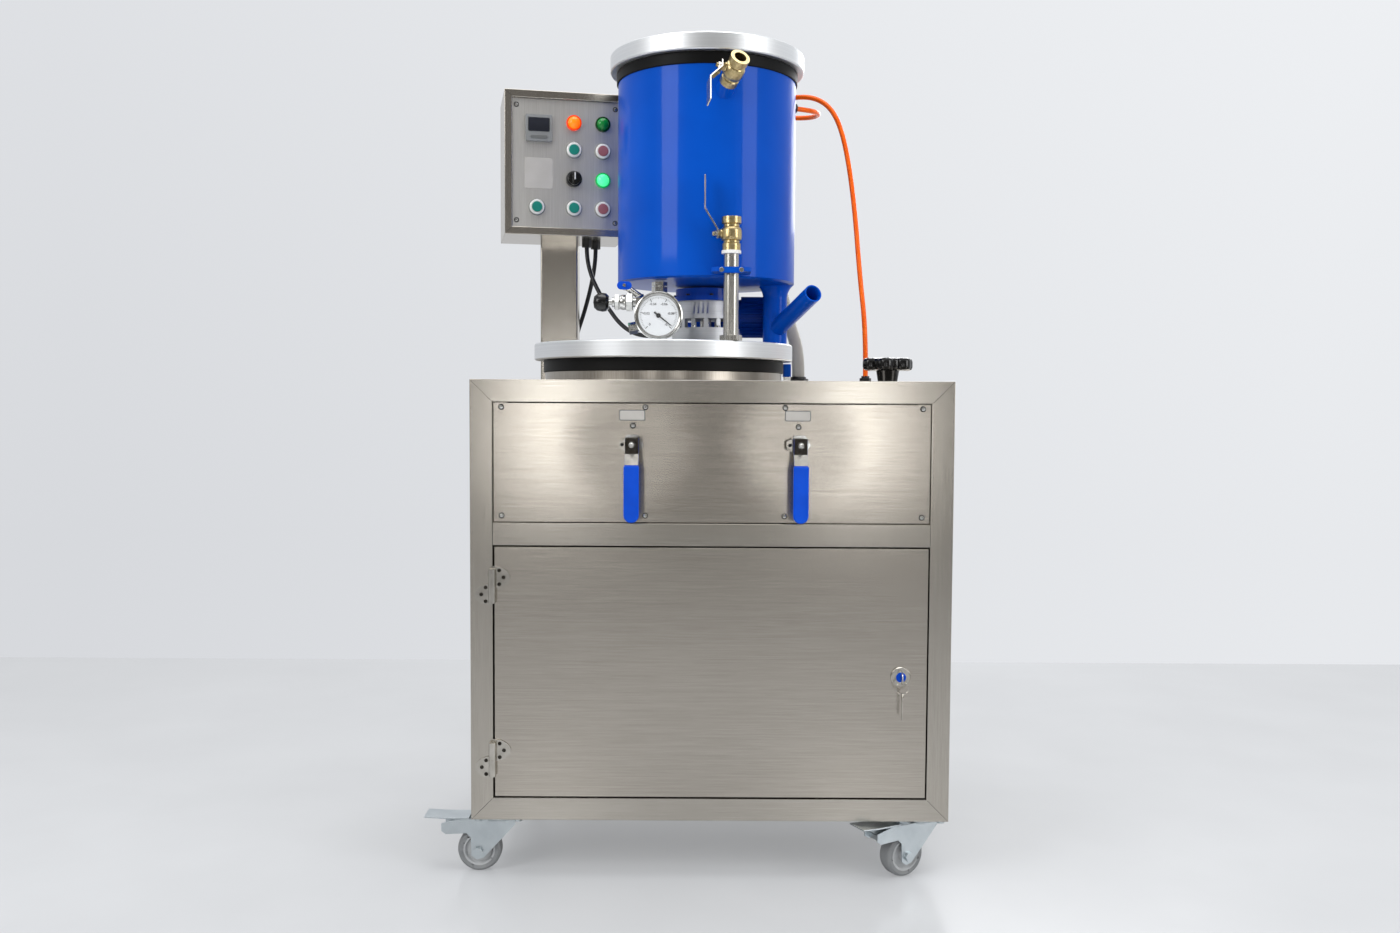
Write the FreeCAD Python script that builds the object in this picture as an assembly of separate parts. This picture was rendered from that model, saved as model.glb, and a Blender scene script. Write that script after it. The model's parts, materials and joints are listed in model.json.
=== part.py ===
"""Vacuum mixer on a wheeled cabinet, in millimetres.

A stainless cabinet on four castors holds a sunk mixing vessel and a vacuum pump. A thick aluminium
lid closes the vessel on a rubber ring. On that lid stand the bearing housing and gear motor of the
agitator, the vacuum gauge with its small valves, and a blue tank with an aluminium lid of its own.
A post at the back carries the control box.

Frame: +Z up, the floor is Z = 0, X = 0 is the middle of the cabinet's width and Y = 0 the middle
of its depth. The front faces -Y.
"""
import FreeCAD
import Part

import math
import os

V = FreeCAD.Vector
X_AXIS = V(1, 0, 0)
Y_AXIS = V(0, 1, 0)
Z_AXIS = V(0, 0, 1)

# Clearances that every fit below uses
SEAT_GAP = 0.3
RUNNING_CLEARANCE = 0.05
FLAT_GAP = 1.0
EDGE_BREAK = 1.5

# Cabinet
CABINET_WIDTH = 860.0
CABINET_DEPTH = 570.0
CABINET_HEIGHT = 792.0
FRAME_TUBE = 40.0
FRAME_WALL = 2.0
PANEL_BAND = 255.0
SHEET = 1.5
DECK_SHEET = 3.0

# Front valve panel
PANEL_RECESS = 3.0
PANEL_GAP = 2.0
PANEL_STRIP = (24.0, 2.0)
VALVE_BONNET_R = 13.0
VALVE_DROP = 114.0
VALVE_X = (-141.0, 155.0)

# Door
DOOR_GAP = 3.0
DOOR_DEPTH = 20.0
DOOR_RECESS = 1.0

# Door hinges
HINGE_LENGTH = 61.0
HINGE_BARREL_R = 6.5
HINGE_PIN_R = 3.0
HINGE_LEAF = 2.5
HINGE_LEAF_REACH = 32.0
HINGE_LEAF_HEIGHT = 40.0
LOW_HINGE_HEIGHT = 112.0
HIGH_HINGE_DROP = 112.5
HINGE_SCREW_R = 2.6

# Door lock, its key and the spare key
LOCK_EDGE_DISTANCE = 50.0
LOCK_HEIGHT = 264.0
LOCK_BEZEL_R = 18.0
LOCK_BEZEL = 4.0
LOCK_BODY_R = 12.0
PLUG_R = 9.0
PLUG_PROUD = 3.0
CAM_LENGTH = 60.0
CAM_WIDTH = 14.0
CAM = 3.0
KEY_SHEET = 2.0
KEY_BOW_R = 10.0
KEY_HOLE_R = 3.0
RING_R = 11.0
RING_WIRE_R = 0.8
RING_GAP = 0.15
SPARE_KEY_BOW_R = 7.5
SPARE_KEY_BLADE = 34.0
SPARE_KEY_WIDTH = 6.0
SPARE_KEY_HOLE_R = 2.0

# Castors
CASTOR_HEIGHT = 108.0
CASTOR_PLATE_LENGTH = 92.0
CASTOR_PLATE_WIDTH = 78.0
CASTOR_PLATE = 3.0
CASTOR_RACE_R = 29.0
CASTOR_RACE = 6.0
KINGPIN_R = 5.0
WHEEL_R = 40.0
WHEEL_WIDTH = 30.0
TYRE = 11.0
HUB_R = 13.0
AXLE_R = 5.0
CASTOR_TRAIL = 38.0
FORK_SHEET = 2.5
FORK_INSIDE = 36.0
GUARD_REACH = 68.0
PEDAL_SHEET = 2.5
PEDAL_WIDTH = 44.0
PEDAL_PIVOT_R = 3.0
PEDAL_PIVOT_BACK = 34.0
PEDAL_PIVOT_DROP = 4.0
PEDAL_REACH = 99.0
CASTOR_TURN = {"fl": 180.0, "fr": 208.0, "rl": 172.0, "rr": 20.0}
BRAKED = ("fl", "fr")

# Mixing vessel, its rubber ring and its lid
VESSEL_X = -94.5
VESSEL_R = 235.0
VESSEL_WALL = 3.0
VESSEL_NECK = 18.0
VESSEL_DEPTH = 268.0
VESSEL_RING_WIDTH = 10.0
VESSEL_RING_HEIGHT = 24.0
VESSEL_LID_OVERHANG = 21.0
VESSEL_LID = 32.0
LID_EDGE = 2.0

# Agitator, its bearing housing and the gear motor
SHAFT_X = -11.0
SHAFT_R = 11.0
PADDLE_R = 120.0
PADDLE_HEIGHT = 46.0
PADDLE_SHEET = 5.0
PADDLE_PITCH = 40.0
HOUSING_FOOT_R = 67.0
HOUSING_FOOT = 33.0
LANTERN_R = 57.0
LANTERN_WALL = 9.0
LANTERN_HEIGHT = 18.0
LANTERN_RIBS = 14
LANTERN_RIB_WIDTH = 9.0
COLLAR_R = 60.0
COLLAR = 9.0
HOUSING_HEAD_R = 56.0
HOUSING_HEAD = 26.0
GEAR_HEAD_R = 60.0
GEAR_HEAD = 24.0
GEAR_FLANGE = (5.0, 9.0)
GEAR_NECK_BACK = 20.0
GEAR_BOX_LENGTH = 40.0
GEAR_BOX_FRONT = 25.0
GEAR_BOX_BACK = 34.0
GEAR_BOX_ROUND = 6.0
MOTOR_R = 36.0
MOTOR_LENGTH = 84.0
MOTOR_COWL = 24.0
MOTOR_FIN = 6.0
MOTOR_FIN_ROOT = 4.0
MOTOR_FIN_SHEET = 2.0
MOTOR_FINS = 24
MOTOR_Y = 78.0
MOTOR_START_X = 54.0
MOTOR_DROP = 48.0
TERMINAL_PLAN = (-34.0, -6.0, 76.0, 108.0)
TERMINAL_LOW = 40.0
TERMINAL_HIGH = 2.0
DUCT_INSET = 4.0
DUCT_OVERLAP = 2.0
MOTOR_GLAND_DROP = 20.0

# Blue tank and its lid
TANK_X = -11.0
TANK_R = 175.0
TANK_WALL = 3.0
TANK_LIFT = 122.0
TANK_HEIGHT = 386.0
TANK_DISH = 10.0
TANK_RING_WIDTH = 8.0
TANK_RING_HEIGHT = 22.0
RING_PROUD = 3.0
TANK_LID_OVERHANG = 15.5
TANK_LID = 32.0
TANK_LID_SPIGOT = 8.0
LEG_X = 127.0
LEG_R = 24.0
LEG_FLARE_R = 37.0
LEG_FLARE = 30.0
SPOUT_R = 17.0
SPOUT_WALL = 2.5
SPOUT_ROOT_HEIGHT = 30.0
SPOUT_RUN = (62.0, -150.0, 62.0)

# Riser pipe and the two brass ball valves
RISER_X = 34.0
RISER_STANDOFF = 25.0
RISER_R = 14.0
RISER_WALL = 2.6
RISER_PROUD = 42.0
RISER_NUT = (36.0, 10.0)
TAPE_HEIGHT = 6.0
TAPE_R = 18.0
CLAMP_WIDTH = 72.0
CLAMP = 8.0
BALL_VALVE_LENGTH = 61.0
BALL_VALVE_R = 18.0
BALL_VALVE_BORE = 11.5
TOP_VALVE_DROP = 44.0
TOP_VALVE_OFFSET = 33.0
TOP_VALVE_LEAN = (0.34, -0.76, 0.55)
TOP_VALVE_NIPPLE = 13.0
STEM_R = 5.0
STEM_REACH = 26.0
LEVER_SHEET = 2.5
LEVER_WIDTH = 18.0
LEVER_JOG = 23.0
LEVER_JOG_END = 46.0
LEVER_LENGTH = 106.0

# Vacuum gauge and the fittings behind it
GAUGE_X = -100.0
GAUGE_Y = -165.0
GAUGE_LIFT = 48.0
GAUGE_R = 45.0
GAUGE_DEPTH = 30.0
GAUGE_GLASS = 3.0
MANIFOLD_Y = -112.0
MANIFOLD_PIPE_R = 9.0
MANIFOLD_HEX = 26.0
BRANCH_LIFT = 28.0
BRANCH_R = 12.0
BRANCH_END_X = -196.0
KNOB_R = 17.0
KNOB_LENGTH = 30.0
BLEED_X = -166.0
BLEED_LIFT = 31.0
BLEED_LEVER = (28.0, 15.0, 4.0)

# Handwheel on the deck
HANDWHEEL_X = 335.0
HANDWHEEL_Y = -120.0
HANDWHEEL_R = 50.0
HANDWHEEL_LOBES = 6
HANDWHEEL_LOBE_R = 15.0
HANDWHEEL_THICKNESS = 24.0
HANDWHEEL_RISE = 23.0
HANDWHEEL_HUB_R = 22.0
HANDWHEEL_SPINDLE_R = 6.0

# Front valve handles
HANDLE_REACH = 136.0
HANDLE_WIDTH = 24.0
HANDLE_STRAP = 3.0
HANDLE_GRIP = 9.0
HANDLE_GRIP_START = 35.0
HANDLE_STANDOFF = 26.0
HANDLE_JOGGLE = 12.0
SPINDLE_R = 5.0
VALVE_BODY_R = 17.0
VALVE_BODY_LENGTH = 70.0
VALVE_SHOULDER = 5.0

# Post and control box
POST_X = -324.0
POST_Y = 202.0
POST_WIDTH = 80.0
POST_DEPTH = 44.0
POST_WALL = 2.0
POST_FOOT = 6.0
POST_FOOT_MARGIN = 12.0
BOX_X = -314.0
BOX_Y = 156.0
POST_HEIGHT = 301.0
BOX_WIDTH = 250.0
BOX_HEIGHT = 290.0
BOX_DEPTH = 165.0
BOX_TURN = 12.0
BOX_SHEET = 2.0
BOX_BORDER = 15.0
FASCIA_GAP = 0.5
FASCIA_RECESS = 6.0
FASCIA_SHEET = 2.0
DISPLAY = (54.0, 53.0, 8.0)
DISPLAY_PLACE = (-56.0, 215.0)
BUTTON_R = 15.0
BUTTON_COLLAR = 9.0
BUTTON_CAP_R = 10.5
BUTTON_PROUD = 2.0
BUTTON_TRAVEL = 3.5
LAMP_R = 14.0
LAMP_HEIGHT = 14.0
COLUMN_LEFT = -60.0
COLUMN_MIDDLE = 15.5
COLUMN_RIGHT = 75.0
ROW_TOP = 229.0
ROW_UPPER = 174.0
ROW_LOWER = 115.0
ROW_BOTTOM = 56.0
BUTTONS = {
    "start_button": (COLUMN_MIDDLE, ROW_UPPER),
    "stop_button": (COLUMN_RIGHT, ROW_UPPER),
    "pump_button": (COLUMN_LEFT, ROW_BOTTOM),
    "mixer_button": (COLUMN_MIDDLE, ROW_BOTTOM),
    "reset_button": (COLUMN_RIGHT, ROW_BOTTOM),
}
SELECTOR_PLACE = (COLUMN_MIDDLE, ROW_LOWER)
SELECTOR_R = 12.0
SELECTOR_GRIP = (7.0, 22.0, 12.0)
LAMPS = ((COLUMN_MIDDLE, ROW_TOP), (COLUMN_RIGHT, ROW_TOP), (COLUMN_RIGHT, ROW_LOWER))

# Vacuum pump in the cabinet
PUMP_X = -330.0
PUMP_Y = 40.0
PUMP_BLOCK = (130.0, 150.0, 190.0)
PUMP_MOTOR_R = 65.0
PUMP_MOTOR_LENGTH = 190.0
PUMP_FOOT = 12.0

# Hoses and cables
AIR_HOSE_D = 10.0
AIR_PORT_TURN = 25.0
AIR_PORT_DROP = 20.0
AIR_PORT_R = 14.0
AIR_PORT_PROUD = 8.0
AIR_FITTING_REACH = 25.7
AIR_HOSE = [
    (171.2, 84.9, 1462.0),
    (197.5, 97.2, 1462.0),
    (217.0, 121.0, 1464.0),
    (227.0, 162.0, 1467.0),
    (209.0, 205.0, 1471.0),
    (166.0, 223.0, 1475.0),
    (123.0, 205.0, 1479.0),
    (105.0, 162.0, 1483.0),
    (123.0, 119.0, 1487.0),
    (166.0, 101.0, 1489.0),
    (207.0, 85.0, 1486.0),
    (240.0, 72.0, 1464.0),
    (262.0, 60.0, 1418.0),
    (277.0, 44.0, 1340.0),
    (288.0, 26.0, 1240.0),
    (296.0, 10.0, 1122.0),
    (308.0, -8.0, 1000.0),
    (308.0, -8.0, 915.0),
]
VACUUM_HOSE_D = 26.0
VACUUM_PORT_R = 13.0
VACUUM_PORT_TURN = 41.56
VACUUM_PORT_REACH = 29.14
VACUUM_PORT_RISE = 27.39
VACUUM_TAIL = 19.7
VACUUM_HOSE = [
    (146.0, 133.0, 1104.0),
    (160.0, 125.0, 1040.0),
    (184.0, 112.0, 970.0),
    (184.0, 112.0, 915.0),
]
CABLE_D = 9.0
POWER_CABLE = [
    (-246.0, 180.0, 1186.0),
    (-246.0, 180.0, 1150.0),
    (-272.0, 238.0, 1065.0),
    (-300.0, 238.0, 985.0),
    (-300.0, 238.0, 915.0),
]
MOTOR_CABLE = [
    (-262.0, 150.0, 1186.0),
    (-262.0, 150.0, 1146.0),
    (-226.0, 132.0, 1072.0),
    (-178.0, 112.0, 1008.0),
    (-118.0, 98.0, 994.0),
    (-80.0, 92.0, 1016.0),
    (-49.0, 92.0, 1016.0),
]
GLAND_R = 9.0
GLAND_HEIGHT = 15.0

# Places worked out from the sizes above
FLOOR = CASTOR_HEIGHT
DECK = FLOOR + CABINET_HEIGHT
FRONT = -CABINET_DEPTH / 2
BACK = CABINET_DEPTH / 2
SIDE = CABINET_WIDTH / 2
MID_RAIL = DECK - PANEL_BAND
LID_BOTTOM = DECK + VESSEL_NECK + VESSEL_RING_HEIGHT
LID_TOP = LID_BOTTOM + VESSEL_LID
HOUSING_TOP = LID_TOP + HOUSING_FOOT + LANTERN_HEIGHT + COLLAR + HOUSING_HEAD
TANK_BOTTOM = LID_TOP + TANK_LIFT
TANK_TOP = TANK_BOTTOM + TANK_HEIGHT
TANK_LID_BOTTOM = TANK_TOP + TANK_RING_HEIGHT
VESSEL_LID_R = VESSEL_R + VESSEL_LID_OVERHANG
TANK_LID_R = TANK_R + TANK_LID_OVERHANG
RISER_Y = -TANK_R - RISER_STANDOFF
RISER_TOP = TANK_BOTTOM + RISER_PROUD
TOP_VALVE_Z = TANK_TOP - TOP_VALVE_DROP
GAUGE_Z = LID_TOP + GAUGE_LIFT
BRANCH_Z = GAUGE_Z + BRANCH_LIFT
BLEED_Z = BRANCH_Z + BLEED_LIFT
BOX_BOTTOM = DECK + POST_HEIGHT
VALVE_Z = DECK - VALVE_DROP


def box(x0, x1, y0, y1, z0, z1):
    return Part.makeBox(x1 - x0, y1 - y0, z1 - z0, V(x0, y0, z0))


def rod(radius, start, end):
    start, end = V(*start), V(*end)
    return Part.makeCylinder(radius, (end - start).Length, start, end - start)


def pipe(outer, inner, start, end):
    return rod(outer, start, end).cut(rod(inner, start, end))


def hexagon(across_flats, start, end):
    """A hexagonal bar from start to end."""
    start, end = V(*start), V(*end)
    corner = across_flats / math.sqrt(3)
    angles = [math.radians(60 * i) for i in range(6)]
    points = [V(corner * math.cos(a), corner * math.sin(a), 0) for a in angles]
    bar = Part.Face(Part.makePolygon(points + points[:1])).extrude(V(0, 0, (end - start).Length))
    return bar.transformed(FreeCAD.Placement(start, FreeCAD.Rotation(Z_AXIS, end - start)).toMatrix())


def plate(points, direction):
    """A flat plate: a closed outline of corner points, pushed along direction."""
    corners = [V(*p) for p in points]
    return Part.Face(Part.makePolygon(corners + corners[:1])).extrude(V(*direction))


def turned(profile, centre=(0, 0, 0)):
    """A solid of revolution about Z: (radius, height) corners, turned about the centre."""
    corners = [V(r, 0, z) for r, z in profile]
    face = Part.Face(Part.makePolygon(corners + corners[:1]))
    solid = face.revolve(V(0, 0, 0), Z_AXIS, 360)
    return solid.translated(V(*centre))


def fuse(first, *others):
    return first.multiFuse(list(others)).removeSplitter()


def about(shape, centre, axis, degrees):
    copy = shape.copy()
    copy.rotate(V(*centre), axis, degrees)
    return copy


def tube_along(points, radius):
    """A hose or cable: straight runs joined by tangent arcs as large as the runs allow."""
    stops = [V(*p) for p in points]
    edges, radii = [], []
    here = stops[0]
    for before, corner, after in zip(stops, stops[1:], stops[2:]):
        back, ahead = before - corner, after - corner
        setback = 0.45 * min(back.Length, ahead.Length)
        half_turn = (math.pi - back.getAngle(ahead)) / 2
        radii.append(setback / math.tan(half_turn))
        back.normalize()
        ahead.normalize()
        enter, leave = corner + back * setback, corner + ahead * setback
        inward = (back + ahead).normalize()
        middle = corner + inward * (radii[-1] / math.cos(half_turn) - radii[-1])
        edges.append(Part.LineSegment(here, enter).toShape())
        edges.append(Part.Arc(enter, middle, leave).toShape())
        here = leave
    edges.append(Part.LineSegment(here, stops[-1]).toShape())
    path = Part.Wire(edges)
    ring = Part.Wire(Part.makeCircle(radius, stops[0], stops[1] - stops[0]))
    tube = path.makePipeShell([ring], True, True)
    volume = math.pi * radius ** 2 * path.Length
    print("tube: length %.0f, tightest radius %.0f, volume over section times length %.4f"
          % (path.Length, min(radii), tube.Volume / volume))
    return tube


# Cabinet


def mitred_ring(y0, y1):
    """Four square tubes round one face of the cabinet, cut at 45 degrees where they meet."""
    corners = [(-SIDE, FLOOR), (SIDE, FLOOR), (SIDE, DECK), (-SIDE, DECK)]
    middle = V(0, 0, (FLOOR + DECK) / 2)

    def inward(corner, distance):
        x, z = corner
        return x + math.copysign(distance, middle.x - x), z + math.copysign(distance, middle.z - z)

    members = []
    for a, b in zip(corners, corners[1:] + corners[:1]):
        skins = []
        outside = (0, FRAME_TUBE, y0, y1)
        inside = (FRAME_WALL, FRAME_TUBE - FRAME_WALL, y0 + FRAME_WALL, y1 - FRAME_WALL)
        for near, far, front, rear in (outside, inside):
            outline = [inward(a, near), inward(b, near), inward(b, far), inward(a, far)]
            skins.append(plate([(x, front, z) for x, z in outline], (0, rear - front, 0)))
        members.append(skins[0].cut(skins[1]))
    return members


def square_tube(x0, x1, y0, y1, z0, z1, along):
    """A straight square tube with open ends along one axis, 0 for X, 1 for Y or 2 for Z."""
    low, high = [x0, y0, z0], [x1, y1, z1]
    for axis in range(3):
        if axis != along:
            low[axis] += FRAME_WALL
            high[axis] -= FRAME_WALL
    return box(x0, x1, y0, y1, z0, z1).cut(box(low[0], high[0], low[1], high[1], low[2], high[2]))


def frame():
    tubes = mitred_ring(FRONT, FRONT + FRAME_TUBE) + mitred_ring(BACK - FRAME_TUBE, BACK)
    inner = SIDE - FRAME_TUBE
    tubes.append(square_tube(-inner, inner, FRONT, FRONT + FRAME_TUBE, MID_RAIL - FRAME_TUBE, MID_RAIL, 0))
    for x0 in (-SIDE, inner):
        for z0 in (FLOOR, DECK - FRAME_TUBE):
            tubes.append(square_tube(x0, x0 + FRAME_TUBE, FRONT + FRAME_TUBE, BACK - FRAME_TUBE,
                                     z0, z0 + FRAME_TUBE, 1))
    reach, thick = PANEL_STRIP
    strip_y = FRONT + PANEL_RECESS + FRAME_TUBE / 2
    for side in (-1, 1):
        near, far = sorted((side * inner, side * (inner - reach)))
        tubes.append(box(near, far, strip_y, strip_y + thick, MID_RAIL, DECK - FRAME_TUBE))
    return Part.makeCompound(tubes)


def body_panels():
    """Side, back and bottom sheets, set inside the frame and seated on its inner faces."""
    rim = FRAME_TUBE / 2
    z0, z1 = FLOOR + FRAME_TUBE, DECK - FRAME_TUBE
    y0, y1 = FRONT + FRAME_TUBE, BACK - FRAME_TUBE
    x1 = SIDE - FRAME_TUBE
    sides = [box(x, x + SHEET, y0, y1, z0, z1) for x in (-SIDE + rim, SIDE - rim - SHEET)]
    rear = box(-x1, x1, BACK - rim, BACK - rim + SHEET, z0, z1)
    bottom = box(-x1, x1, y0, y1, FLOOR + rim, FLOOR + rim + SHEET)
    return Part.makeCompound(sides + [rear, bottom])


def deck():
    """The worktop sheet, let in flush between the top rails, with the holes that pass through it."""
    x1 = SIDE - FRAME_TUBE
    y0, y1 = FRONT + FRAME_TUBE, BACK - FRAME_TUBE
    top = box(-x1, x1, y0, y1, DECK - DECK_SHEET, DECK)
    holes = [rod(VESSEL_R + SEAT_GAP, (VESSEL_X, 0, DECK - DECK_SHEET), (VESSEL_X, 0, DECK)),
             rod(HANDWHEEL_SPINDLE_R + SEAT_GAP, (HANDWHEEL_X, HANDWHEEL_Y, DECK - DECK_SHEET),
                 (HANDWHEEL_X, HANDWHEEL_Y, DECK))]
    return top.cut(Part.makeCompound(holes))


def front_panel():
    """The valve panel: a tray with a folded edge all round, behind the face of the frame."""
    x1 = SIDE - FRAME_TUBE - PANEL_GAP
    z0, z1 = MID_RAIL + PANEL_GAP, DECK - FRAME_TUBE - PANEL_GAP
    face = FRONT + PANEL_RECESS
    fold = FRAME_TUBE / 2
    tray = box(-x1, x1, face, face + fold, z0, z1)
    tray = tray.cut(box(-x1 + SHEET, x1 - SHEET, face + SHEET, face + fold, z0 + SHEET, z1 - SHEET))
    for x in VALVE_X:
        tray = tray.cut(rod(VALVE_BONNET_R + SEAT_GAP, (x, face, VALVE_Z), (x, face + SHEET, VALVE_Z)))
    return tray


def front_valves():
    """Two ball valves behind the panel, and the needle valve under the handwheel."""
    solids = []
    handle_y = FRONT - HANDLE_STANDOFF
    face = FRONT + PANEL_RECESS
    body_y = face + SHEET + VALVE_BODY_R + VALVE_SHOULDER
    for x in VALVE_X:
        body = rod(VALVE_BODY_R, (x - VALVE_BODY_LENGTH / 2, body_y, VALVE_Z),
                   (x + VALVE_BODY_LENGTH / 2, body_y, VALVE_Z))
        ends = [hexagon(2 * VALVE_BODY_R + 2, (x + s * VALVE_BODY_LENGTH / 2, body_y, VALVE_Z),
                        (x + s * (VALVE_BODY_LENGTH / 2 - 14), body_y, VALVE_Z)) for s in (-1, 1)]
        bonnet = rod(VALVE_BONNET_R, (x, body_y, VALVE_Z), (x, FRONT - 2, VALVE_Z))
        shoulder = rod(VALVE_BONNET_R + 3, (x, body_y, VALVE_Z), (x, face + SHEET, VALVE_Z))
        lock_nut = hexagon(2 * VALVE_BONNET_R + 8, (x, face, VALVE_Z), (x, face - 6, VALVE_Z))
        gland = hexagon(19, (x, FRONT - 2, VALVE_Z), (x, FRONT - 12, VALVE_Z))
        stem = rod(SPINDLE_R, (x, FRONT - 12, VALVE_Z), (x, handle_y - 12, VALVE_Z))
        solids.append(fuse(body, *ends, bonnet, shoulder, lock_nut, gland, stem))
    spindle_top = DECK + HANDWHEEL_RISE + HANDWHEEL_THICKNESS / 2
    x, y = HANDWHEEL_X, HANDWHEEL_Y
    spindle = rod(HANDWHEEL_SPINDLE_R, (x, y, DECK - 60), (x, y, spindle_top))
    bonnet = hexagon(30, (x, y, DECK - 62), (x, y, DECK - DECK_SHEET))
    cross_pipe = rod(12, (x, y - 26, DECK - 44), (x, y + 26, DECK - 44))
    needle = fuse(spindle, bonnet, cross_pipe)
    return Part.makeCompound(solids + [needle])


def valve_handle(x):
    """A strap handle with a joggle, and the dipped grip on its lower part."""
    half = HANDLE_WIDTH / 2
    y = FRONT - HANDLE_STANDOFF
    top = VALVE_Z + half
    bend = VALVE_Z - half - 4
    grip_top = VALVE_Z - HANDLE_GRIP_START
    bottom = VALVE_Z - HANDLE_REACH
    outer = y - HANDLE_JOGGLE
    side = [(x - half, y, top), (x - half, y - HANDLE_STRAP, top), (x - half, y - HANDLE_STRAP, bend),
            (x - half, outer - HANDLE_STRAP, grip_top), (x - half, outer - HANDLE_STRAP, bottom + half),
            (x - half, outer, bottom + half), (x - half, outer, grip_top), (x - half, y, bend)]
    strap = plate(side, (HANDLE_WIDTH, 0, 0))
    bore_r = SPINDLE_R + RUNNING_CLEARANCE
    strap = strap.cut(rod(bore_r, (x, y + 1, VALVE_Z), (x, y - HANDLE_STRAP - 1, VALVE_Z)))
    nut = hexagon(13, (x, y - HANDLE_STRAP, VALVE_Z), (x, y - HANDLE_STRAP - 6, VALVE_Z))
    nut = nut.cut(rod(bore_r, (x, y, VALVE_Z), (x, y - 20, VALVE_Z)))
    strap = fuse(strap, nut)
    grip_y = outer - HANDLE_STRAP / 2
    grip = fuse(box(x - half - 1.5, x + half + 1.5, grip_y - HANDLE_GRIP / 2, grip_y + HANDLE_GRIP / 2,
                    bottom + half + 1.5, grip_top - 2),
                rod(half + 1.5, (x, grip_y - HANDLE_GRIP / 2, bottom + half + 1.5),
                    (x, grip_y + HANDLE_GRIP / 2, bottom + half + 1.5)))
    edges = [e for e in grip.Edges if abs(e.CenterOfMass.y - grip_y) > HANDLE_GRIP / 2 - 0.1]
    grip = grip.makeFillet(2.5, edges).cut(strap)
    return Part.makeCompound([strap, grip])


# Door, hinges and lock

HINGE_X = -SIDE + FRAME_TUBE
HINGE_Y = FRONT - HINGE_BARREL_R - 0.5
HINGE_ZS = (FLOOR + LOW_HINGE_HEIGHT, MID_RAIL - HIGH_HINGE_DROP)
DOOR_FACE = FRONT + DOOR_RECESS
LOCK_X = SIDE - FRAME_TUBE - LOCK_EDGE_DISTANCE
LOCK_Z = FLOOR + LOCK_HEIGHT


def door():
    """A folded tray: the face and four returned edges, open towards the inside of the cabinet."""
    x1 = SIDE - FRAME_TUBE - DOOR_GAP
    z0, z1 = FLOOR + FRAME_TUBE + DOOR_GAP, MID_RAIL - FRAME_TUBE - DOOR_GAP
    tray = box(-x1, x1, DOOR_FACE, DOOR_FACE + DOOR_DEPTH, z0, z1)
    skin = DOOR_FACE + SHEET
    tray = tray.cut(box(-x1 + SHEET, x1 - SHEET, skin, DOOR_FACE + DOOR_DEPTH, z0 + SHEET, z1 - SHEET))
    return tray.cut(rod(LOCK_BODY_R + SEAT_GAP, (LOCK_X, DOOR_FACE, LOCK_Z), (LOCK_X, skin, LOCK_Z)))


def hinge_leaf(z, face, side, up):
    """One leaf of a hinge: a half-round plate with three screw holes on half of the barrel."""
    half = HINGE_LENGTH / 2
    leaf_middle = z + up * half / 2
    reach = HINGE_LEAF_REACH
    ellipse = Part.makeCylinder(HINGE_LEAF_HEIGHT / 2, HINGE_LEAF, V(0, 0, 0), Y_AXIS)
    stretch = FreeCAD.Matrix()
    stretch.scale(2 * reach / HINGE_LEAF_HEIGHT, 1, 1)
    leaf = ellipse.transformGeometry(stretch).translated(V(HINGE_X, face - HINGE_LEAF, leaf_middle))
    half_x = sorted((HINGE_X, HINGE_X + side * 2 * reach))
    keep = box(*half_x, face - 2 * HINGE_LEAF, face + HINGE_LEAF, z - HINGE_LENGTH, z + HINGE_LENGTH)
    leaf = leaf.common(keep)
    start = z + up * SEAT_GAP / 2
    barrel = rod(HINGE_BARREL_R, (HINGE_X, HINGE_Y, start), (HINGE_X, HINGE_Y, z + up * half))
    mating_end = (HINGE_X, HINGE_Y, z - up * HINGE_LENGTH)
    mating_barrel = rod(HINGE_BARREL_R + SEAT_GAP, (HINGE_X, HINGE_Y, start), mating_end)
    leaf = fuse(leaf.cut(mating_barrel), barrel)
    spots = [(0.62 * reach, 0), (0.38 * reach, 0.62), (0.38 * reach, -0.62)]
    for dx, dz in spots:
        x, height = HINGE_X + side * dx, leaf_middle + dz * HINGE_LEAF_HEIGHT / 2
        leaf = leaf.cut(rod(HINGE_SCREW_R, (x, face - 9, height), (x, face, height)))
    bore = HINGE_PIN_R + (RUNNING_CLEARANCE if up > 0 else 0)
    return leaf.cut(rod(bore, (HINGE_X, HINGE_Y, z - half), (HINGE_X, HINGE_Y, z + half)))


def hinge_pin(z):
    half = HINGE_LENGTH / 2
    return rod(HINGE_PIN_R, (HINGE_X, HINGE_Y, z - half), (HINGE_X, HINGE_Y, z + half - FLAT_GAP))


def hinge_frame_leaves():
    """The fixed leaves, each with its pin pressed into the barrel."""
    leaves = [hinge_leaf(z, FRONT, -1, -1) for z in HINGE_ZS]
    return Part.makeCompound(leaves + [hinge_pin(z) for z in HINGE_ZS])


def hinge_door_leaves():
    return Part.makeCompound([hinge_leaf(z, DOOR_FACE, 1, 1) for z in HINGE_ZS])


CAM_Y = FRONT + FRAME_TUBE + FLAT_GAP


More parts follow.
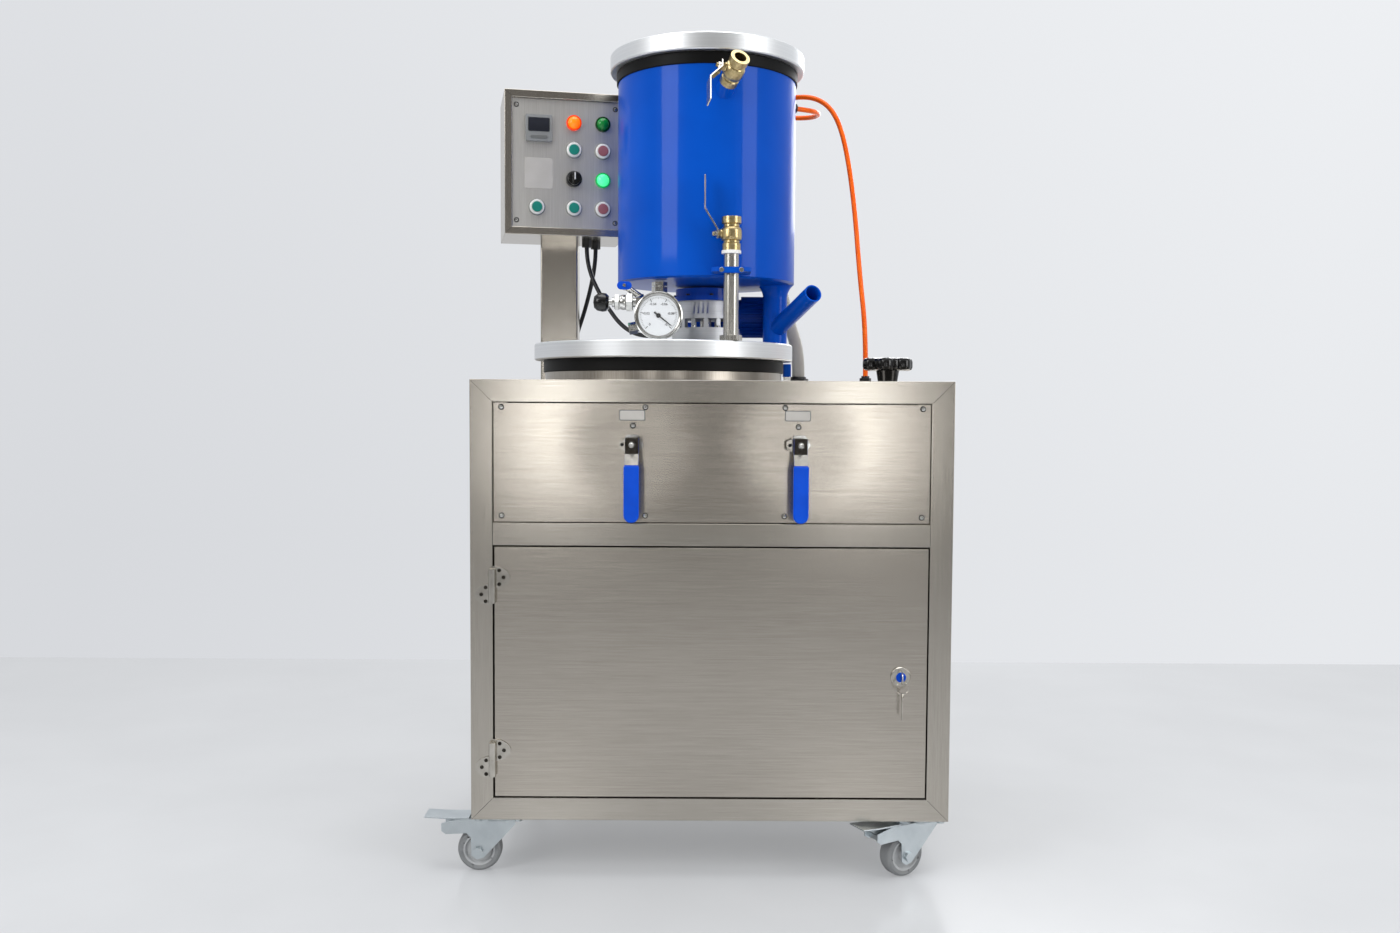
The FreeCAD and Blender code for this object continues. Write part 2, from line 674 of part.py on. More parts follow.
def lock_housing():
    bezel = rod(LOCK_BEZEL_R, (LOCK_X, DOOR_FACE - LOCK_BEZEL, LOCK_Z), (LOCK_X, DOOR_FACE, LOCK_Z))
    front_rim = [e for e in bezel.Edges if abs(e.CenterOfMass.y - DOOR_FACE + LOCK_BEZEL) < 0.01]
    bezel = bezel.makeChamfer(EDGE_BREAK, front_rim)
    body = rod(LOCK_BODY_R, (LOCK_X, DOOR_FACE, LOCK_Z), (LOCK_X, CAM_Y - FLAT_GAP, LOCK_Z))
    bore = rod(PLUG_R + RUNNING_CLEARANCE, (LOCK_X, DOOR_FACE - LOCK_BEZEL, LOCK_Z), (LOCK_X, CAM_Y, LOCK_Z))
    return fuse(bezel, body).cut(bore)


def lock_plug():
    """The turning plug with a key slot, and the cam on its inner end, which points up when unlocked."""
    face = DOOR_FACE - LOCK_BEZEL - PLUG_PROUD
    plug = rod(PLUG_R, (LOCK_X, face, LOCK_Z), (LOCK_X, CAM_Y, LOCK_Z))
    slot = box(LOCK_X - KEY_SHEET / 2, LOCK_X + KEY_SHEET / 2, face, face + 16, LOCK_Z - 4, LOCK_Z + 4)
    cam = fuse(box(LOCK_X - CAM_WIDTH / 2, LOCK_X + CAM_WIDTH / 2, CAM_Y, CAM_Y + CAM,
                   LOCK_Z - CAM_WIDTH / 2, LOCK_Z + CAM_LENGTH),
               rod(PLUG_R, (LOCK_X, CAM_Y, LOCK_Z), (LOCK_X, CAM_Y + CAM + 4, LOCK_Z)))
    return fuse(plug.cut(slot), cam)


KEY_FACE = DOOR_FACE - LOCK_BEZEL - PLUG_PROUD
KEY_HOLE_Y = KEY_FACE - 1.45 * KEY_BOW_R
KEY_HOLE_Z = LOCK_Z - KEY_BOW_R / 3


def door_key():
    """The key in the plug, seen edge-on from the front, with a hole in its bow for the ring."""
    half = KEY_SHEET / 2
    bow_y = KEY_FACE - KEY_BOW_R
    bow = rod(KEY_BOW_R, (LOCK_X - half, bow_y, LOCK_Z), (LOCK_X + half, bow_y, LOCK_Z))
    blade = box(LOCK_X - half, LOCK_X + half, bow_y, KEY_FACE + 16, LOCK_Z - 4, LOCK_Z + 4)
    hole = rod(KEY_HOLE_R, (LOCK_X - half, KEY_HOLE_Y, KEY_HOLE_Z), (LOCK_X + half, KEY_HOLE_Y, KEY_HOLE_Z))
    return fuse(bow, blade).cut(hole)


def key_ring():
    """The split ring that hangs in the key's bow, and the spare key on it."""
    centre_z = KEY_HOLE_Z - (KEY_HOLE_R - RING_WIRE_R - RING_GAP) - RING_R
    ring = Part.makeTorus(RING_R, RING_WIRE_R, V(LOCK_X, KEY_HOLE_Y, centre_z), Y_AXIS)
    half = KEY_SHEET / 2
    hole_z = centre_z - RING_R - (SPARE_KEY_HOLE_R - RING_WIRE_R - RING_GAP)
    bow_z = hole_z - 0.5 * SPARE_KEY_BOW_R
    x0, x1 = LOCK_X - half, LOCK_X + half
    bow = rod(SPARE_KEY_BOW_R, (x0, KEY_HOLE_Y, bow_z), (x1, KEY_HOLE_Y, bow_z))
    blade = box(x0, x1, KEY_HOLE_Y - SPARE_KEY_WIDTH / 2, KEY_HOLE_Y + SPARE_KEY_WIDTH / 2,
                bow_z - SPARE_KEY_BOW_R - SPARE_KEY_BLADE, bow_z)
    key = fuse(bow, blade).cut(rod(SPARE_KEY_HOLE_R, (x0, KEY_HOLE_Y, hole_z), (x1, KEY_HOLE_Y, hole_z)))
    return Part.makeCompound([ring, key])


# Castors

CASTOR_X = SIDE - CASTOR_PLATE_LENGTH / 2
CASTOR_Y = BACK - FRAME_TUBE / 4 - CASTOR_PLATE_WIDTH / 2
CASTOR_PLACES = {
    "fl": (-CASTOR_X, -CASTOR_Y),
    "fr": (CASTOR_X, -CASTOR_Y),
    "rl": (-CASTOR_X, CASTOR_Y),
    "rr": (CASTOR_X, CASTOR_Y),
}
RACE_BOTTOM = FLOOR - CASTOR_PLATE - CASTOR_RACE
CROWN_TOP = RACE_BOTTOM - SEAT_GAP
CROWN_BOTTOM = CROWN_TOP - FORK_SHEET
GUARD_END = CASTOR_TRAIL + GUARD_REACH
PEDAL_PIVOT = (CASTOR_TRAIL + PEDAL_PIVOT_BACK, CROWN_BOTTOM - PEDAL_PIVOT_DROP)


def on_castor(shape, corner):
    """Turns a castor piece, drawn trailing towards +X, to its corner of the cabinet."""
    x, y = CASTOR_PLACES[corner]
    return about(shape, (0, 0, 0), Z_AXIS, CASTOR_TURN[corner]).translated(V(x, y, 0))


def castor_plates():
    """Top plates with their ball races, kingpins and bolt heads."""
    solids = []
    for x, y in CASTOR_PLACES.values():
        length, width = CASTOR_PLATE_LENGTH / 2, CASTOR_PLATE_WIDTH / 2
        top = box(x - length, x + length, y - width, y + width, FLOOR - CASTOR_PLATE, FLOOR)
        race = rod(CASTOR_RACE_R, (x, y, RACE_BOTTOM), (x, y, FLOOR - CASTOR_PLATE))
        kingpin = rod(KINGPIN_R, (x, y, CROWN_BOTTOM - 1), (x, y, RACE_BOTTOM))
        head = hexagon(17, (x, y, CROWN_BOTTOM - 7), (x, y, CROWN_BOTTOM - SEAT_GAP))
        bolts = [hexagon(13, (x + sx * (length - 10), y + sy * (width - 10), FLOOR - CASTOR_PLATE - 5),
                         (x + sx * (length - 10), y + sy * (width - 10), FLOOR - CASTOR_PLATE))
                 for sx in (-1, 1) for sy in (-1, 1)]
        solids.append(fuse(top, race, kingpin, head, *bolts))
    return Part.makeCompound(solids)


def castor_fork(corner):
    """The pressed fork: crown, two cheeks with the guard arm, and the axle bolt."""
    outer = FORK_INSIDE / 2 + FORK_SHEET
    arm_low = CROWN_TOP - 26 if corner in BRAKED else CROWN_TOP - 14
    arm_end = GUARD_END if corner in BRAKED else CASTOR_TRAIL + 12
    axle = (CASTOR_TRAIL, WHEEL_R)
    nose = [(-26, CROWN_TOP), (-30, CROWN_TOP - 8)]
    round_axle = [(axle[0] - 9, axle[1] - 13), (axle[0] + 3, axle[1] - 16), (axle[0] + 13, axle[1] - 9)]
    under_arm = [(axle[0] + 14, arm_low - 8), (axle[0] + 22, arm_low), (arm_end - 8, arm_low - 2)]
    tip = [(arm_end, arm_low + 4), (arm_end, CROWN_TOP - 8), (PEDAL_PIVOT[0] + 2, CROWN_TOP)]
    outline = nose + round_axle + under_arm + tip
    if corner not in BRAKED:
        outline = outline[:6] + [(arm_end + 2, arm_low), (arm_end, CROWN_TOP - 4), (arm_end - 4, CROWN_TOP)]
    cheeks = [plate([(x, y, z) for x, z in outline], (0, FORK_SHEET, 0))
              for y in (-outer, outer - FORK_SHEET)]
    crown = box(-26, axle[0] - 12, -outer, outer, CROWN_BOTTOM, CROWN_TOP)
    pieces = [crown, rod(CASTOR_RACE_R, (0, 0, CROWN_BOTTOM), (0, 0, CROWN_TOP))] + cheeks
    if corner in BRAKED:
        px, pz = PEDAL_PIVOT
        pieces.append(box(arm_end - 12, arm_end - 9, -outer, outer, arm_low + 1, arm_low + 10))
    fork = fuse(*pieces)
    fork = fork.cut(rod(KINGPIN_R + RUNNING_CLEARANCE, (0, 0, CROWN_BOTTOM - 1), (0, 0, CROWN_TOP + 1)))
    fork = fork.cut(rod(AXLE_R, (axle[0], -outer, axle[1]), (axle[0], outer, axle[1])))
    if corner in BRAKED:
        fork = fork.cut(rod(PEDAL_PIVOT_R + RUNNING_CLEARANCE, (px, -outer, pz), (px, outer, pz)))
    bolt = fuse(rod(AXLE_R, (axle[0], -outer, axle[1]), (axle[0], outer, axle[1])),
                hexagon(15, (axle[0], -outer - 6, axle[1]), (axle[0], -outer, axle[1])),
                hexagon(15, (axle[0], outer, axle[1]), (axle[0], outer + 7, axle[1])))
    return on_castor(Part.makeCompound([fork, bolt]), corner)


def castor_wheel(corner):
    """Hub and tyre, both turned about the axle."""
    bore = AXLE_R + RUNNING_CLEARANCE
    half = WHEEL_WIDTH / 2
    rim = WHEEL_R - TYRE
    upper_hub = [(rim, half - 1), (rim - 3, half - 1), (rim - 6, half - 6), (HUB_R, half - 4),
                 (HUB_R, half + 1.5), (bore, half + 1.5)]
    lower_hub = [(r, -z) for r, z in reversed(upper_hub)]
    hub = turned(lower_hub + upper_hub)
    upper_tyre = [(WHEEL_R, half - 8), (WHEEL_R - 1.5, half - 3), (WHEEL_R - 5, half), (rim, half - 1)]
    lower_tyre = [(r, -z) for r, z in reversed(upper_tyre)]
    tyre = turned(lower_tyre + upper_tyre)
    wheel = Part.makeCompound([hub, tyre])
    wheel = about(wheel, (0, 0, 0), X_AXIS, 90).translated(V(CASTOR_TRAIL, 0, WHEEL_R))
    return on_castor(wheel, corner)


def brake_pedal(corner):
    """The bent treadle over the guard arm, with its two lugs on a pivot rod."""
    px, pz = PEDAL_PIVOT
    top = FLOOR - CASTOR_PLATE - 1.0
    start, knee = CASTOR_TRAIL + 17, CASTOR_TRAIL + 64
    end = CASTOR_TRAIL + PEDAL_REACH
    low = CROWN_TOP + 0.8
    bend = [(start, low), (knee, low), (end, top - PEDAL_SHEET), (end, top), (knee - 1, low + PEDAL_SHEET),
            (start, low + PEDAL_SHEET)]
    treadle = plate([(x, -PEDAL_WIDTH / 2, z) for x, z in bend], (0, PEDAL_WIDTH, 0))
    inside = FORK_INSIDE / 2 - 1
    lugs = [box(px - 7, px + 7, y, y + PEDAL_SHEET, pz - 5, low) for y in (-inside, inside - PEDAL_SHEET)]
    reach = FORK_INSIDE / 2 + FORK_SHEET
    pivot = rod(PEDAL_PIVOT_R, (px, -reach, pz), (px, reach, pz))
    return on_castor(fuse(treadle, *lugs, pivot), corner)


# Mixing vessel, agitator and drive


def vessel():
    """The sunk bowl, with a dished bottom."""
    top = DECK + VESSEL_NECK
    low = DECK - VESSEL_DEPTH
    inner = VESSEL_R - VESSEL_WALL
    outside = [(VESSEL_R, top), (VESSEL_R, low + 20), (VESSEL_R - 30, low), (0.1, low - 6)]
    inside = [(0.1, low - 6 + VESSEL_WALL), (inner - 30, low + VESSEL_WALL), (inner, low + 22), (inner, top)]
    return turned(outside + inside, (VESSEL_X, 0, 0))


def rubber_rings():
    """The rubber rings on the rims of the vessel and of the tank."""
    rims = ((VESSEL_X, VESSEL_R, VESSEL_RING_WIDTH, DECK + VESSEL_NECK, LID_BOTTOM),
            (TANK_X, TANK_R, TANK_RING_WIDTH, TANK_TOP, TANK_LID_BOTTOM))
    return Part.makeCompound([pipe(r + RING_PROUD, r + RING_PROUD - width, (x, 0, z0), (x, 0, z1))
                              for x, r, width, z0, z1 in rims])


def lid_disc(radius, thickness, x, z):
    disc = rod(radius, (x, 0, z), (x, 0, z + thickness))
    return disc.makeChamfer(LID_EDGE, [e for e in disc.Edges if e.Curve.TypeId == "Part::GeomCircle"])


def vessel_lid():
    disc = lid_disc(VESSEL_LID_R, VESSEL_LID, VESSEL_X, LID_BOTTOM)
    return disc.cut(rod(SHAFT_R + 4, (SHAFT_X, 0, LID_BOTTOM), (SHAFT_X, 0, LID_TOP)))


def bearing_housing():
    """Foot flange, slotted lantern ring, collar and head, open inside round the shaft."""
    z = [LID_TOP]
    for step in (HOUSING_FOOT, LANTERN_HEIGHT, COLLAR, HOUSING_HEAD):
        z.append(z[-1] + step)
    stack = fuse(rod(HOUSING_FOOT_R, (SHAFT_X, 0, z[0]), (SHAFT_X, 0, z[1])),
                 rod(LANTERN_R, (SHAFT_X, 0, z[1]), (SHAFT_X, 0, z[2])),
                 rod(COLLAR_R, (SHAFT_X, 0, z[2]), (SHAFT_X, 0, z[3])),
                 rod(HOUSING_HEAD_R, (SHAFT_X, 0, z[3]), (SHAFT_X, 0, z[4])))
    stack = stack.cut(rod(LANTERN_R - LANTERN_WALL, (SHAFT_X, 0, z[1]), (SHAFT_X, 0, z[2])))
    stack = stack.cut(rod(SHAFT_R + RUNNING_CLEARANCE, (SHAFT_X, 0, z[0]), (SHAFT_X, 0, z[4])))
    step = 360.0 / LANTERN_RIBS
    slot_width = 2 * math.pi * LANTERN_R / LANTERN_RIBS - LANTERN_RIB_WIDTH
    slot = box(SHAFT_X + LANTERN_R - LANTERN_WALL - 3, SHAFT_X + LANTERN_R + 3,
               -slot_width / 2, slot_width / 2, z[1], z[2])
    slots = [about(slot, (SHAFT_X, 0, 0), Z_AXIS, i * step) for i in range(LANTERN_RIBS)]
    return stack.cut(Part.makeCompound(slots))


def agitator():
    """The shaft, a hub at its foot and three pitched paddles."""
    foot = DECK - VESSEL_DEPTH + 30
    top = HOUSING_TOP - SEAT_GAP
    hub_top = foot + PADDLE_HEIGHT
    blades = []
    for i in range(3):
        blade = box(0, PADDLE_R, -PADDLE_SHEET / 2, PADDLE_SHEET / 2, -PADDLE_HEIGHT / 2, PADDLE_HEIGHT / 2)
        blade = about(blade, (0, 0, 0), X_AXIS, PADDLE_PITCH)
        blade = about(blade, (0, 0, 0), Z_AXIS, 120.0 * i)
        blades.append(blade.translated(V(SHAFT_X, 0, foot + PADDLE_HEIGHT / 2)))
    shaft = rod(SHAFT_R, (SHAFT_X, 0, foot), (SHAFT_X, 0, top))
    hub = rod(2 * SHAFT_R, (SHAFT_X, 0, foot), (SHAFT_X, 0, hub_top))
    return fuse(shaft, hub, *blades)


MOTOR_Z = HOUSING_TOP + GEAR_HEAD - MOTOR_DROP


def terminal_box():
    """The motor's terminal box with its cable gland, joined to the gear box by a short duct."""
    x0, x1, y0, y1 = TERMINAL_PLAN
    low, high = MOTOR_Z - TERMINAL_LOW, MOTOR_Z - TERMINAL_HIGH
    case = box(x0, x1, y0, y1, low, high)
    duct_end = MOTOR_START_X - GEAR_BOX_LENGTH + DUCT_OVERLAP
    duct = box(x1 - DUCT_INSET, duct_end, y0 + DUCT_INSET, y1 - DUCT_INSET,
               low + 4 * DUCT_INSET, high - 1.5 * DUCT_INSET)
    gland_x, y = MOTOR_CABLE[-1][:2]
    z = MOTOR_Z - MOTOR_GLAND_DROP
    return fuse(case, duct, hexagon(2 * GLAND_R, (gland_x, y, z), (x0, y, z)))


def gear_motor():
    """Gear head over the housing, the bevel box beside it and the finned motor."""
    z0, z1 = HOUSING_TOP, HOUSING_TOP + GEAR_HEAD
    head = rod(GEAR_HEAD_R, (SHAFT_X, 0, z0), (SHAFT_X, 0, z1))
    flange_proud, flange_height = GEAR_FLANGE
    flange = rod(GEAR_HEAD_R + flange_proud, (SHAFT_X, 0, z0), (SHAFT_X, 0, z0 + flange_height))
    neck = box(SHAFT_X, MOTOR_START_X, 0, MOTOR_Y + GEAR_NECK_BACK, z0 + 2, z1)
    low = LID_TOP + HOUSING_FOOT + FLAT_GAP
    gear_box = box(MOTOR_START_X - GEAR_BOX_LENGTH, MOTOR_START_X,
                   MOTOR_Y - GEAR_BOX_FRONT, MOTOR_Y + GEAR_BOX_BACK, low, z1)
    uprights = [e for e in gear_box.Edges if e.BoundBox.ZLength > GEAR_HEAD / 2]
    gear_box = gear_box.makeFillet(GEAR_BOX_ROUND, uprights)
    end = MOTOR_START_X + MOTOR_LENGTH
    core = rod(MOTOR_R, (MOTOR_START_X, MOTOR_Y, MOTOR_Z), (end, MOTOR_Y, MOTOR_Z))
    fins = []
    for i in range(MOTOR_FINS):
        fin = box(MOTOR_START_X + 8, end - MOTOR_COWL - 2,
                  MOTOR_Y - MOTOR_FIN_SHEET / 2, MOTOR_Y + MOTOR_FIN_SHEET / 2,
                  MOTOR_Z + MOTOR_R - MOTOR_FIN_ROOT, MOTOR_Z + MOTOR_R + MOTOR_FIN)
        fins.append(about(fin, (MOTOR_START_X, MOTOR_Y, MOTOR_Z), X_AXIS, 360.0 * (i + 0.5) / MOTOR_FINS))
    cowl = rod(MOTOR_R + MOTOR_FIN, (end - MOTOR_COWL, MOTOR_Y, MOTOR_Z), (end, MOTOR_Y, MOTOR_Z))
    return fuse(head, flange, neck, gear_box, core, cowl, terminal_box(), *fins)


# Blue tank

CLAMP_TOP = TANK_BOTTOM + 11.0


def air_port(radius):
    """A point on the air port's axis, at a distance from the tank's axis."""
    turn = math.radians(AIR_PORT_TURN)
    return V(TANK_X + radius * math.cos(turn), radius * math.sin(turn), TANK_TOP - AIR_PORT_DROP)


def vacuum_elbow():
    """Where the axis of the vacuum port meets the axis of the hose below it."""
    turn = math.radians(VACUUM_PORT_TURN)
    reach = TANK_R + VACUUM_PORT_REACH
    return V(TANK_X + reach * math.cos(turn), reach * math.sin(turn), TANK_BOTTOM + VACUUM_PORT_RISE)


def tank_leg():
    """The hollow leg, which flares out under the tank."""
    top = TANK_BOTTOM - 1
    low = top - LEG_FLARE
    skins = []
    for thinner in (0, TANK_WALL):
        waist, mouth = LEG_R - thinner, LEG_FLARE_R - thinner
        belly = V(waist + 0.25 * (mouth - waist), 0, low + 0.6 * LEG_FLARE)
        edges = [Part.makeLine(V(0, 0, LID_TOP), V(waist, 0, LID_TOP)),
                 Part.makeLine(V(waist, 0, LID_TOP), V(waist, 0, low)),
                 Part.Arc(V(waist, 0, low), belly, V(mouth, 0, top)).toShape(),
                 Part.makeLine(V(mouth, 0, top), V(0, 0, top)),
                 Part.makeLine(V(0, 0, top), V(0, 0, LID_TOP))]
        skins.append(Part.Face(Part.Wire(edges)).revolve(V(0, 0, 0), Z_AXIS, 360))
    return skins[0].cut(skins[1]).translated(V(LEG_X, 0, 0))


def tank():
    """The shell with its dished bottom, pipe bracket and bosses, and the leg with its spout under it."""
    inner = TANK_R - TANK_WALL
    low = TANK_BOTTOM - TANK_DISH
    skin = [(TANK_R, TANK_TOP), (TANK_R, TANK_BOTTOM), (TANK_R - 8, TANK_BOTTOM - 3), (0.1, low)]
    lining = [(0.1, low + TANK_WALL), (inner - 8, TANK_BOTTOM), (inner, TANK_BOTTOM + 3), (inner, TANK_TOP)]
    shell = turned(skin + lining, (TANK_X, 0, 0))
    outside = rod(TANK_R, (TANK_X, 0, low), (TANK_X, 0, TANK_TOP))
    leg = tank_leg().cut(rod(inner, (TANK_X, 0, TANK_BOTTOM - 2), (TANK_X, 0, TANK_TOP)))
    root = V(LEG_X, 0, LID_TOP + SPOUT_ROOT_HEIGHT)
    mouth = root + V(*SPOUT_RUN)
    spout = rod(SPOUT_R, root, mouth).cut(rod(LEG_R - 1, (LEG_X, 0, LID_TOP), (LEG_X, 0, TANK_BOTTOM)))
    bore = rod(SPOUT_R - SPOUT_WALL, root, mouth)
    half = CLAMP_WIDTH / 2
    bracket = box(RISER_X - half, RISER_X + half, RISER_Y - RISER_R - 6, -100, CLAMP_TOP - CLAMP, CLAMP_TOP)
    bracket = bracket.makeChamfer(12, [e for e in bracket.Edges
                                       if e.BoundBox.ZLength > 1 and e.CenterOfMass.y < RISER_Y])
    bracket = bracket.cut(outside)
    riser_room = rod(RISER_R + SEAT_GAP, (RISER_X, RISER_Y, TANK_BOTTOM - 20), (RISER_X, RISER_Y, TANK_TOP))
    bracket = bracket.cut(riser_room)
    air_boss = rod(AIR_PORT_R, air_port(TANK_R - 6), air_port(TANK_R + AIR_PORT_PROUD))
    root = top_valve_root()
    valve_boss = rod(BALL_VALVE_R - 1, root - top_valve_axis() * 2 * TOP_VALVE_NIPPLE, root)
    elbow = vacuum_elbow()
    wall = V(TANK_X, 0, elbow.z)
    vacuum_boss = rod(VACUUM_PORT_R + 3, wall, wall + (elbow - wall).normalize() * (TANK_R + 4))
    hollow = rod(inner, (TANK_X, 0, TANK_BOTTOM), (TANK_X, 0, TANK_TOP))
    bosses = [b.cut(hollow) for b in (air_boss, valve_boss, vacuum_boss)]
    upper = fuse(shell, bracket, *bosses)
    envelope = turned([(TANK_R, TANK_TOP), (TANK_R, TANK_BOTTOM), (TANK_R - 8, TANK_BOTTOM - 3), (0.1, low),
                       (0.1, TANK_TOP)], (TANK_X, 0, 0))
    lower = fuse(leg.cut(envelope), spout).cut(bore)
    return Part.makeCompound([upper, lower])


def tank_lid():
    """The loose lid, with a spigot that centres it inside the rubber ring."""
    disc = lid_disc(TANK_LID_R, TANK_LID, TANK_X, TANK_LID_BOTTOM)
    spigot_r = TANK_R + RING_PROUD - TANK_RING_WIDTH - FLAT_GAP
    spigot_bottom = TANK_LID_BOTTOM - TANK_LID_SPIGOT
    spigot = pipe(spigot_r, spigot_r - 12, (TANK_X, 0, spigot_bottom), (TANK_X, 0, TANK_LID_BOTTOM))
    return fuse(disc, spigot)


# Ball valves and riser


def top_valve_axis():
    return V(*TOP_VALVE_LEAN).normalize()


def top_valve_root():
    depth = math.sqrt(TANK_R ** 2 - TOP_VALVE_OFFSET ** 2)
    return V(TANK_X + TOP_VALVE_OFFSET, -depth, TOP_VALVE_Z) + top_valve_axis() * TOP_VALVE_NIPPLE


def place_valve(shape, root, axis, stem):
    """Moves a valve piece drawn along +Z with its stem towards +X to a root, an axis and a stem side."""
    side = (stem - axis * stem.dot(axis)).normalize()
    across = axis.cross(side)
    frame_matrix = FreeCAD.Matrix(side.x, across.x, axis.x, root.x, side.y, across.y, axis.y, root.y,
                                  side.z, across.z, axis.z, root.z, 0, 0, 0, 1)
    return shape.transformed(frame_matrix)


def ball_valve():
    """A brass body turned with collars, a bore right through and the stem boss on its side."""
    length, r = BALL_VALVE_LENGTH, BALL_VALVE_R
    inlet_end = [(BALL_VALVE_BORE, 0), (r - 1, 0), (r - 1, 12), (r - 3, 14), (r - 3, 17), (r, 19)]
    ball_bulge = [(r + 1, 24), (r + 1, 36), (r - 1, 41), (r - 3.5, 43), (r - 3.5, 47)]
    outlet_end = [(r, 49), (r, length), (BALL_VALVE_BORE, length)]
    body = turned(inlet_end + ball_bulge + outlet_end)
    boss = rod(9, (BALL_VALVE_BORE + 2, 0, length / 2), (STEM_REACH - 6, 0, length / 2))
    boss = fuse(boss, hexagon(14, (STEM_REACH - 6, 0, length / 2), (STEM_REACH - 2, 0, length / 2)))
    stem = rod(STEM_R - 1, (BALL_VALVE_BORE + 2, 0, length / 2), (STEM_REACH + 9, 0, length / 2))
    return fuse(body, boss, stem)


def valve_lever():
    """The bent lever on the stem, running along the valve's own axis, and its nut."""
    half = LEVER_WIDTH / 2
    z = BALL_VALVE_LENGTH / 2
    x = STEM_REACH - 1.5
    jogged, t = x + LEVER_JOG, LEVER_SHEET
    near_side = [(x, z - half), (x, z + half), (jogged, z + LEVER_JOG_END), (jogged, z + LEVER_LENGTH)]
    far_side = [(jogged + t, z + LEVER_LENGTH), (jogged + t, z + LEVER_JOG_END - 1), (x + t, z + half - 1),
                (x + t, z - half)]
    side = near_side + far_side
    strap = plate([(a, -half, b) for a, b in side], (0, LEVER_WIDTH, 0))
    strap = strap.cut(rod(STEM_R - 1 + RUNNING_CLEARANCE, (x - 2, 0, z), (x + 5, 0, z)))
    nut = hexagon(11, (x + LEVER_SHEET, 0, z), (x + LEVER_SHEET + 5, 0, z))
    nut = nut.cut(rod(STEM_R - 1 + RUNNING_CLEARANCE, (x, 0, z), (x + 20, 0, z)))
    return fuse(strap, nut)


def top_stem_centre():
    return top_valve_root() + top_valve_axis() * BALL_VALVE_LENGTH / 2


def top_stem_side():
    axis = top_valve_axis()
    return (STEM_SIDE - axis * STEM_SIDE.dot(axis)).normalize()


OUTLET_ROOT = V(RISER_X, RISER_Y, RISER_TOP)
STEM_SIDE = V(-1, 0, 0)


def brass_valves():
    """The valve on the riser and the valve on the tank."""
    return Part.makeCompound([place_valve(ball_valve(), OUTLET_ROOT, Z_AXIS, STEM_SIDE),
                              place_valve(ball_valve(), top_valve_root(), top_valve_axis(), STEM_SIDE)])


def outlet_lever():
    return place_valve(valve_lever(), OUTLET_ROOT, Z_AXIS, STEM_SIDE)


def top_lever():
    """The upper valve is shut, so its lever stands square to the valve's axis and points down."""
    lever = place_valve(valve_lever(), top_valve_root(), top_valve_axis(), STEM_SIDE)
    return about(lever, top_stem_centre(), top_stem_side(), -90)


def riser_pipe():
    """The pipe from the lid up to the outlet valve, with its foot nut and wound sealing tape."""
    bore = RISER_R - RISER_WALL
    tube = pipe(RISER_R, bore, (RISER_X, RISER_Y, LID_TOP), (RISER_X, RISER_Y, RISER_TOP))
    flats, height = RISER_NUT
    nut = hexagon(flats, (RISER_X, RISER_Y, LID_TOP), (RISER_X, RISER_Y, LID_TOP + height))
    nut = nut.cut(rod(bore, (RISER_X, RISER_Y, LID_TOP), (RISER_X, RISER_Y, LID_TOP + height)))
    tape = pipe(TAPE_R, RISER_R, (RISER_X, RISER_Y, RISER_TOP - TAPE_HEIGHT), (RISER_X, RISER_Y, RISER_TOP))
    return fuse(tube, nut, tape)


# Gauge and its fittings

GAUGE_BACK = GAUGE_Y + GAUGE_DEPTH


def gauge():
    """The round case with a stepped bezel round a recessed dial, and a stem at the back."""
    r = GAUGE_R
    front, glass = GAUGE_DEPTH, GAUGE_DEPTH - GAUGE_GLASS
    shell = [(0.1, 0), (r - 4, 0), (r - 2, 2), (r - 2, 20)]
    bezel = [(r, 21), (r, front - 1), (r - 2, front), (r - 5, front), (r - 7, glass), (0.1, glass)]
    case = turned(shell + bezel)
    case = about(case, (0, 0, 0), X_AXIS, 90).translated(V(GAUGE_X, GAUGE_BACK, GAUGE_Z))
    stem = rod(7, (GAUGE_X, GAUGE_BACK - 1, GAUGE_Z), (GAUGE_X, MANIFOLD_Y - MANIFOLD_PIPE_R - 7, GAUGE_Z))
    return fuse(case, stem)


